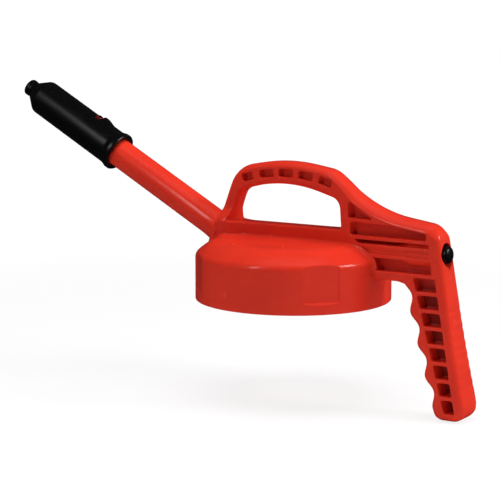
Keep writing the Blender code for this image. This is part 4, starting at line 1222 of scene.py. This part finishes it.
def root_fillet(settings, side):
    """Concave bead between one side of the handle and the cap.

    C runs along the line where the side meets the cap, found in three rounds because the handle's width
    changes along it; n points off the cap within the side's plane, t off the handle along the cap. The
    face is C + r[(1 - sin a) n + (1 - cos a) t].
    """
    cap = settings.cap
    handle = settings.handle
    shoulder, brow = corner_arcs(cap_corners(cap), 14)[1:3]
    lowest = ARM_UNDERSIDE + handle.rim
    skirt = np.stack([np.full(8, cap.radius), np.linspace(lowest, shoulder[0, 1], 8, endpoint=False)], -1)
    rear = np.vstack([skirt, shoulder, brow])
    front = np.vstack([brow[::-1], shoulder[::-1]])
    front = front[front[:, 1] > FILLET_LOWEST_FRONT]
    reach = rear[-1, 0]
    top = np.linspace(reach, -reach, 60)[1:-1]

    profile = np.vstack([rear, np.stack([np.abs(top), np.full_like(top, cap.top)], -1), front])
    sign = np.concatenate([np.ones(len(rear)), np.sign(top), -np.ones(len(front))])
    on_top = np.concatenate([np.zeros(len(rear)), np.ones(len(top)), np.zeros(len(front))])
    x = sign * profile[:, 0]
    for _ in range(3):
        y = half_width(handle, x, profile[:, 1])
        x = np.where(on_top == 1, x, sign * np.sqrt(np.maximum(profile[:, 0] ** 2 - y ** 2, 0.0)))
    centre = np.stack([x, side * y, profile[:, 1]], -1)

    run = np.gradient(profile * np.stack([sign, np.ones_like(sign)], -1), axis=0)
    normal = unit(np.stack([run[:, 1], -run[:, 0]], -1))
    round_cap = np.where(on_top == 1, 0.0, side * y / np.maximum(profile[:, 0], 1e-6))
    off_cap = unit(np.stack([normal[:, 0], np.abs(normal[:, 0]) * round_cap, normal[:, 1]], -1))
    across = np.array([0.0, side, 0.0])
    lean = off_cap @ across
    up = unit(off_cap - lean[:, None] * across)
    away = unit(across - lean[:, None] * off_cap)

    along = np.linspace(0.0, 1.0, len(x))
    full = smooth(0.0, FILLET_FADE, along) * smooth(1.0, 1 - FILLET_FADE, along)
    radius = handle.fillet * (FILLET_END + (1 - FILLET_END) * full)
    a = np.linspace(0.0, np.pi / 2, 9)
    high = np.append(1 - np.sin(a), -FILLET_BURIED)
    wide = np.append(1 - np.cos(a), -FILLET_BURIED)
    sunk = centre - FILLET_SINK * (up + away)
    rows = (sunk[:, None] + (radius[:, None] * high)[..., None] * up[:, None]
            + (radius[:, None] * wide)[..., None] * away[:, None])
    return swept(rows)


def spout_flare(spout):
    """Flare at the spout's root: radius R + a(t)(1 - sqrt(1 - u^2)), u falling from 1 to 0 along it.

    The rise a(t) is small on the upper side, where the tube meets the leg, and full at the sides.
    """
    t = circle(96)[:, None]
    u = np.linspace(1.0, 0.0, 20)
    rise = FLARE_LEAST + spout.fillet * smooth(*FLARE_SIDES, np.abs((t + np.pi) % (2 * np.pi) - np.pi))
    face = spout.radius - FLARE_SINK + rise * (1 - np.sqrt(1 - u * u))
    buried = np.full((len(t), 2), spout.radius - FLARE_BURIED)
    place = FLARE_START + (1 - u) * FLARE_LENGTH
    place = np.concatenate([place, [place[-1], FLARE_START]])
    return grid_shape(cylindrical(np.concatenate([face, buried], 1), t, place), True, True)


class LID_OT_fillets(bpy.types.Operator):
    """Build the fillets where handle and spout run into the cap"""

    bl_idname = "pouring_lid.fillets"
    bl_label = "Root fillets"

    def execute(self, context):
        settings = context.scene.pouring_lid
        piece = new_object("root_fillets", root_fillet(settings, -1), root_fillet(settings, 1),
                           along_spout(spout_flare(settings.spout), settings))
        settle(piece, settings, "red_moulding", "lid")
        return {"FINISHED"}


def upright(shape):
    """Turn a shape on local Z to stand out of the tube's upper side at the peg's place."""
    points, faces = shape
    return np.stack([points[:, 2], points[:, 1], PEG_PLACE - points[:, 0]], -1), faces


class LID_OT_spout(bpy.types.Operator):
    """Build the spout tube, its guide peg and its O-rings"""

    bl_idname = "pouring_lid.spout"
    bl_label = "Spout"

    def execute(self, context):
        settings = context.scene.pouring_lid
        spout = settings.spout
        nozzle = settings.nozzle
        floor = SEAL_CENTRE - SEAL_SECTION - GAP
        half = SEAL_SECTION + GAP
        corners = [(spout.bore, -SOCKET_DEPTH, 0.0), (spout.bore, spout.end, 0.0004),
                   (spout.radius, spout.end, 0.0007)]
        for place in reversed(SEAL_PLACES):
            corners += [(spout.radius, place + half, 0.00015), (floor, place + half, 0.0001),
                        (floor, place - half, 0.0001), (spout.radius, place - half, 0.00015)]
        corners.append((spout.radius, -SOCKET_DEPTH, 0.0))
        tube = on_spout("spout_tube_fine", turned(rounded(corners, 4), 96), settings)
        seat = (spout.bore + spout.radius) / 2
        top = nozzle.radius + nozzle.cam_height / 2
        peg = rounded([(0.0, seat, 0.0), (spout.peg, seat, 0.0), (spout.peg, top, 0.0006),
                       (0.0, top, 0.0)], 6)
        peg_piece = on_spout("guide_peg", upright(turned(peg[:-1], 40, False)), settings)
        hole = rod(spout.peg + GAP / 2, seat - GAP, spout.radius + PEG_HOLE_RISE, 40)
        combine(tube, on_spout("peg_hole", upright(hole), settings))
        settle(tube, settings, "red_moulding", "lid", "spout_tube")
        # The guide peg gets painted shade, as it sits in shade in its slot
        settle(peg_piece, settings, "red_moulding", "lid", "spout_guide_peg", finish="greased_red")
        for end, place in zip(("rear", "front"), SEAL_PLACES):
            seal = on_spout(f"seal_ring_{end}", torus(SEAL_CENTRE, SEAL_SECTION, place), settings)
            settle(seal, settings, "rubber", "lid", f"spout_seal_{end}")
        return {"FINISHED"}


class LID_OT_plug(bpy.types.Operator):
    """Build the shut-off plug in the spout's end"""

    bl_idname = "pouring_lid.plug"
    bl_label = "Shut-off plug"

    def execute(self, context):
        settings = context.scene.pouring_lid
        spout = settings.spout
        nozzle = settings.nozzle
        high = spout.end - SPIDER_INSET
        low = high - SPIDER_LENGTH
        outer = spout.bore - GAP
        inner = outer - SPIDER_WALL
        ring = ((outer, low), (outer, high), (inner, high), (inner, low))
        rim = rounded([(*corner, 0.0003) for corner in ring], 4)
        spider = on_spout("spider", turned(rim, 72), settings)
        combine(spider, on_spout("hub", rod(HUB_RADIUS, low, high, 48, 0.03), settings), "UNION")
        for t in np.arange(3) * 2 * math.pi / 3:
            ahead = np.array([math.cos(t), math.sin(t), 0.0])
            across = np.array([-math.sin(t), math.cos(t), 0.0]) * SPIDER_ARM_HALF
            section = [across * u + (0.0, 0.0, v) for u, v in
                       ((-1, low + GAP), (1, low + GAP), (1, high - GAP), (-1, high - GAP))]
            rows = np.array([[reach * ahead + point for point in section]
                             for reach in (SPIDER_ARM_ROOT, outer - SPIDER_WALL / 2)])
            combine(spider, on_spout("arm", swept(rows), settings), "UNION")
        bore = rod(HUB_BORE, low - SPIDER_LENGTH / 2, high + SPIDER_LENGTH / 2, 40)
        combine(spider, on_spout("hub_bore", bore, settings))
        settle(spider, settings, "red_moulding", "lid", "plug_spider")

        end = nozzle.tip - nozzle.travel - GAP
        head = end - PIN_HEAD_LENGTH
        stop = low - GAP
        place = end - PIN_HEAD_LENGTH / 3
        below = place - PIN_GROOVE_HALF
        above = place + PIN_GROOVE_HALF
        pin = rounded([
            (0.0, stop - HUB_RADIUS / 2, 0.0), (HUB_RADIUS, stop - HUB_RADIUS / 2, 0.0003),
            (HUB_RADIUS, stop, 0.0002), (PIN_RADIUS, stop, 0.0), (PIN_RADIUS, head, 0.0003),
            (PIN_HEAD, head + PIN_BEVEL, 0.0003), (PIN_HEAD, below, 0.0001), (PIN_GROOVE, below, 0.0),
            (PIN_GROOVE, above, 0.0), (PIN_HEAD, above, 0.0001), (PIN_HEAD, end - PIN_BEVEL, 0.0003),
            (PIN_HEAD - PIN_BEVEL, end, 0.0003), (0.0, end, 0.0),
        ], 4)
        settle(on_spout("shut_off_pin", turned(pin, 48, False), settings), settings, "red_moulding", "lid",
               "plug_pin")
        seal = on_spout("pin_seal_ring", torus(*PIN_SEAL, place, 64, 12), settings)
        settle(seal, settings, "rubber", "lid", "plug_seal")
        return {"FINISHED"}


def sleeve_profile(nozzle):
    """Corners of the nozzle sleeve's section, from its rear end round its tip and back along its bore."""
    lip = nozzle.lip_radius - nozzle.neck_radius
    groove, half = WIPER_GROOVE
    place = nozzle.rear + WIPER_PLACE
    return rounded([
        (nozzle.bore + BORE_BEVEL, nozzle.rear, 0.0003),
        (nozzle.collar_radius - 2 * lip, nozzle.rear, 0.0004),
        (nozzle.collar_radius, nozzle.rear + 3 * lip, 0.0010),
        (nozzle.collar_radius, nozzle.rear + nozzle.collar, 0.0012),
        (nozzle.radius, nozzle.rear + 2.2 * nozzle.collar, 0.0040),
        (nozzle.radius, nozzle.shoulder - CONE_SETBACK, 0.0042),
        (nozzle.neck_radius, nozzle.neck, 0.0016),
        (nozzle.neck_radius, nozzle.tip - nozzle.lip_length - 2 * lip, 0.0004),
        (nozzle.lip_radius, nozzle.tip - nozzle.lip_length, 0.0008),
        (nozzle.lip_radius, nozzle.tip - 1.5 * lip, 0.0006),
        (nozzle.neck_radius, nozzle.tip, 0.0002),
        (nozzle.tip_bore, nozzle.tip, 0.0003),
        (nozzle.tip_bore, nozzle.neck - nozzle.neck_radius / 4, 0.0005),
        (nozzle.bore, nozzle.shoulder - nozzle.bore / 3, 0.0010),
        (nozzle.bore, place + half, 0.0),
        (groove, place + half, 0.0),
        (groove, place - half, 0.0),
        (nozzle.bore, place - half, 0.0),
        (nozzle.bore, nozzle.rear + BORE_BEVEL, 0.0),
    ], 8)


def cam_band(nozzle, peg):
    """Raised cam: a ramped section carried round a quarter turn, rising along the spout with the slot."""
    lead = nozzle.travel / (math.pi / 2)
    over = peg / nozzle.bore
    t = np.linspace(-over, math.pi / 2 + over, 49)[:, None]
    buried = (nozzle.bore + nozzle.radius) / 2
    ends = smooth(0.0, 0.25, np.minimum(t - t[0], t[-1] - t) + 0.12)
    ramp = np.array([0.0, 0.0, 0.10, 0.5, 0.90, 1.0, 1.0, 0.94, 0.0])
    back = np.array([-1.0, -1.0, -0.93, -0.75, -0.57, -0.47, -0.24, -0.20, -0.20])
    radius = nozzle.radius + nozzle.cam_height * ramp * (0.35 + 0.65 * ends)
    radius[:, 0] = buried
    radius[:, -1] = buried
    place = PEG_PLACE + lead * t + nozzle.cam_length * back
    return swept(cylindrical(radius, t, place))


def peg_slot(nozzle, peg):
    """Slanting slot for the peg: a stadium on the unrolled sleeve, wrapped round it and carried outward."""
    run = np.array([nozzle.bore * math.pi / 2, nozzle.travel])
    size = np.linalg.norm(run)
    ahead = run / size
    across = np.array([-ahead[1], ahead[0]])
    half = peg + 2 * GAP
    bend = np.linspace(np.pi / 2, 3 * np.pi / 2, 13)
    line = np.linspace(0.0, size, 17)[1:-1]
    u = np.concatenate([half * np.cos(bend), line, size - half * np.cos(bend), line[::-1]])
    v = np.concatenate([half * np.sin(bend), -half + 0 * line, -half * np.sin(bend), half + 0 * line])
    flat = np.outer(u, ahead) + np.outer(v, across)
    t = flat[:, 0] / nozzle.bore
    place = PEG_PLACE + flat[:, 1]
    below, above = SLOT_OVERCUT
    radius = np.array([nozzle.bore - below, nozzle.radius + above])[:, None]
    return swept(cylindrical(radius, t, place))


class LID_OT_nozzle(bpy.types.Operator):
    """Build the black twist nozzle and its wiper ring"""

    bl_idname = "pouring_lid.nozzle"
    bl_label = "Twist nozzle"

    def execute(self, context):
        settings = context.scene.pouring_lid
        nozzle = settings.nozzle
        peg = settings.spout.peg
        sleeve = on_spout("twist_sleeve", turned(sleeve_profile(nozzle), 128), settings)
        combine(sleeve, on_spout("cam", cam_band(nozzle, peg), settings), "UNION")
        combine(sleeve, on_spout("slot", peg_slot(nozzle, peg), settings))
        settle(sleeve, settings, "black_moulding", "nozzle", "nozzle_sleeve")
        middle = settings.spout.radius + GAP + WIPER_SECTION
        ring = torus(middle, WIPER_SECTION, nozzle.rear + WIPER_PLACE)
        settle(on_spout("wiper_ring", ring, settings), settings, "rubber", "nozzle_carrier",
               "nozzle_wiper_ring")
        return {"FINISHED"}


class LID_OT_vent(bpy.types.Operator):
    """Build the air vent: bush, thumb button, stem, spring and seals"""

    bl_idname = "pouring_lid.vent"
    bl_label = "Air vent"

    def execute(self, context):
        settings = context.scene.pouring_lid
        vent = settings.vent
        outer = vent.chamber - GAP
        rim = vent.recess - GAP
        guide = vent.button + GAP
        web = BUSH_INNER + BUSH_WEB
        seal_place = BUSH_INNER + BUSH_WEB / 2
        flange = RECESS_FLOOR + GAP
        face = flange + BUSH_FLANGE
        groove, half = BUSH_GROOVE
        bush = rounded([
            (BUSH_BORE, BUSH_INNER, 0.0), (outer, BUSH_INNER, 0.0003), (outer, seal_place - half, 0.0),
            (groove, seal_place - half, 0.0), (groove, seal_place + half, 0.0),
            (outer, seal_place + half, 0.0), (outer, flange, 0.0), (rim, flange, 0.0002),
            (rim, face, 0.0005), (guide, face, 0.0004), (guide, web, 0.0), (BUSH_BORE, web, 0.0),
        ], 5)

        # Dome: radius R cos^p a, at d (1 - sin a) below the tip
        under = vent.tip - BUTTON_LENGTH
        bend = np.linspace(0.0, np.pi / 2, 13)
        dome = np.stack([vent.button * np.cos(bend) ** DOME_POWER,
                         vent.tip - vent.dome * (1 - np.sin(bend))], -1)
        hole, depth = BUTTON_HOLE
        button = np.vstack([[(0.0, under + depth), (hole, under + depth), (hole, under),
                             (vent.button - BUTTON_BEVEL, under), (vent.button, under + BUTTON_BEVEL)],
                            dome])

        section = VALVE_SEAL[1]
        seal_middle = BUSH_INNER - GAP - section
        disc = seal_middle - section - GAP
        back = disc - DISC_THICKNESS
        end = under + depth - GAP
        stem = rounded([(0.0, back, 0.0), (DISC_RADIUS, back, 0.0004), (DISC_RADIUS, disc, 0.0003),
                        (STEM_RADIUS, disc, 0.0003), (STEM_RADIUS, end, 0.0002), (0.0, end, 0.0)], 4)
        for name, shape, slot, body, node in (
                ("bush", turned(bush, 96), "black_moulding", "lid", "vent_bush"),
                ("bush_seal_ring", torus(*BUSH_SEAL, seal_place), "rubber", "lid", "vent_bush_seal"),
                ("thumb_button", turned(button, 96, False), "black_moulding", "vent_plunger", "vent_button"),
                ("valve_stem", turned(stem, 64, False), "black_moulding", "vent_plunger", "vent_stem"),
                ("valve_seal_ring", torus(*VALVE_SEAL, seal_middle), "rubber", "vent_plunger",
                 "vent_valve_seal")):
            settle(on_vent(name, shape), settings, slot, body, node)

        # Coil: a circle of wire w carried on a helix, at R + w cos b and w sin b along the axis
        low = web + GAP + WIRE
        high = under - GAP - WIRE
        t = np.linspace(0.0, COIL_TURNS * 2 * np.pi, 193)[:, None]
        bend = circle(10)
        place = low + (high - low) * t / t[-1] + WIRE * np.sin(bend)
        coil = swept(cylindrical(COIL_RADIUS + WIRE * np.cos(bend), t, place))
        spring = on_vent("return_spring", coil)
        settle(spring, settings, "spring_steel", "lid", "vent_spring")
        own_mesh(spring)
        return {"FINISHED"}


def floor_material():
    """White floor that keeps soft shadows: mostly plain white to the camera, open from below."""
    made, tree, place = new_material("white_floor")
    seen = tree.node("LightPath", output="Is Camera Ray")
    below = tree.node("NewGeometry", output="Backfacing")
    lit = tree.node("BsdfDiffuse", {"Color": FLOOR_COLOUR})
    plain = tree.node("Emission", {"Color": WHITE, "Strength": FLOOR_GLOW})
    far = masked(tree, tree.node("VectorMath", {0: place}, "Value", operation="LENGTH"), *FLOOR_FADE)
    shadow = FLOOR_SHADOW * (1 - far)
    upper = tree.node("MixShader", {0: seen * (1 - shadow), 1: lit, 2: plain})
    clear = tree.node("BsdfTransparent", {"Color": WHITE})
    tree.node("OutputMaterial", {"Surface": tree.node("MixShader", {0: below, 1: upper, 2: clear})})
    return made


def room_light(strength):
    """World: even light on the object, and plain white to the camera."""
    world = bpy.data.worlds.new("white_room")
    world.use_nodes = True
    world.node_tree.nodes.clear()
    tree = Signal(world.node_tree)
    seen = tree.node("LightPath", output="Is Camera Ray")
    room = tree.node("Background", {"Color": WHITE, "Strength": strength})
    plain = tree.node("Background", {"Color": WHITE, "Strength": 1.0})
    tree.node("OutputWorld", {"Surface": tree.node("MixShader", {0: seen, 1: room, 2: plain})})
    return world


def soft_box(name, place, aim, size, watts, gloss):
    """An area lamp that faces a point; without gloss it lights but leaves no highlight."""
    lamp = bpy.data.lights.new(name, "AREA")
    lamp.shape = "RECTANGLE"
    lamp.size, lamp.size_y = size
    lamp.energy = watts
    made = bpy.data.objects.new(name, lamp)
    made.location = place
    made.rotation_euler = (Vector(aim) - Vector(place)).to_track_quat("-Z", "Y").to_euler()
    made.visible_glossy = gloss
    bpy.context.scene.collection.objects.link(made)


class LID_OT_stage(bpy.types.Operator):
    """Build the floor, the lamps and the camera"""

    bl_idname = "pouring_lid.stage"
    bl_label = "Stage"

    def execute(self, context):
        scene = context.scene
        stage = scene.pouring_lid.stage
        level = CAD_BOX[0][2] - FLOOR_GAP
        ends = (-FLOOR_HALF, FLOOR_HALF)
        points, faces = grid_shape(np.array([[(x, y, level) for y in ends] for x in ends]), False, False)
        mesh = bpy.data.meshes.new("floor")
        mesh.from_pydata(points.tolist(), [], faces)
        mesh.materials.append(floor_material())
        floor = bpy.data.objects.new("floor", mesh)
        scene.collection.objects.link(floor)
        floor.visible_glossy = False

        aim = Vector(stage.target)
        for name, place, size, gloss in LAMPS:
            soft_box(name, place, aim, size, getattr(stage, name), gloss)
        scene.world = room_light(stage.ambient)

        flat = math.cos(stage.elevation)
        back = Vector((math.sin(stage.azimuth) * flat, -math.cos(stage.azimuth) * flat,
                       math.sin(stage.elevation)))
        camera = bpy.data.cameras.new("camera")
        camera.lens = stage.lens
        camera.sensor_width = SENSOR_WIDTH
        made = bpy.data.objects.new("camera", camera)
        made.location = aim + back * stage.distance
        made.rotation_euler = (-back).to_track_quat("-Z", "Y").to_euler()
        scene.collection.objects.link(made)
        scene.camera = made
        scene.view_settings.view_transform = "Standard"
        return {"FINISHED"}


OPERATORS = (LID_OT_cap, LID_OT_gasket, LID_OT_handle, LID_OT_fillets, LID_OT_spout, LID_OT_plug,
             LID_OT_nozzle, LID_OT_vent, LID_OT_stage)


class LID_PT_sidebar(bpy.types.Panel):
    """Sidebar page that lists the pieces"""

    bl_idname = "LID_PT_sidebar"
    bl_label = "Pouring lid"
    bl_space_type = "VIEW_3D"
    bl_region_type = "UI"
    bl_category = "Pouring lid"

    def draw(self, context):
        for operator in OPERATORS:
            self.layout.operator(operator.bl_idname)


CLASSES = (CapSizes, HandleSizes, SpoutSizes, NozzleSizes, VentSizes, Finishes, StageSettings, LidSettings,
           *OPERATORS, LID_PT_sidebar)


def register():
    for made in CLASSES:
        bpy.utils.register_class(made)
    bpy.types.Scene.pouring_lid = PointerProperty(type=LidSettings, name="Pouring lid",
                                                  description="Settings of the pouring lid")


def unregister():
    del bpy.types.Scene.pouring_lid
    for made in reversed(CLASSES):
        bpy.utils.unregister_class(made)


def main():
    register()
    for operator in OPERATORS:
        group, name = operator.bl_idname.split(".")
        getattr(getattr(bpy.ops, group), name)()
    bpy.context.view_layer.update()


if __name__ == "__main__":
    main()
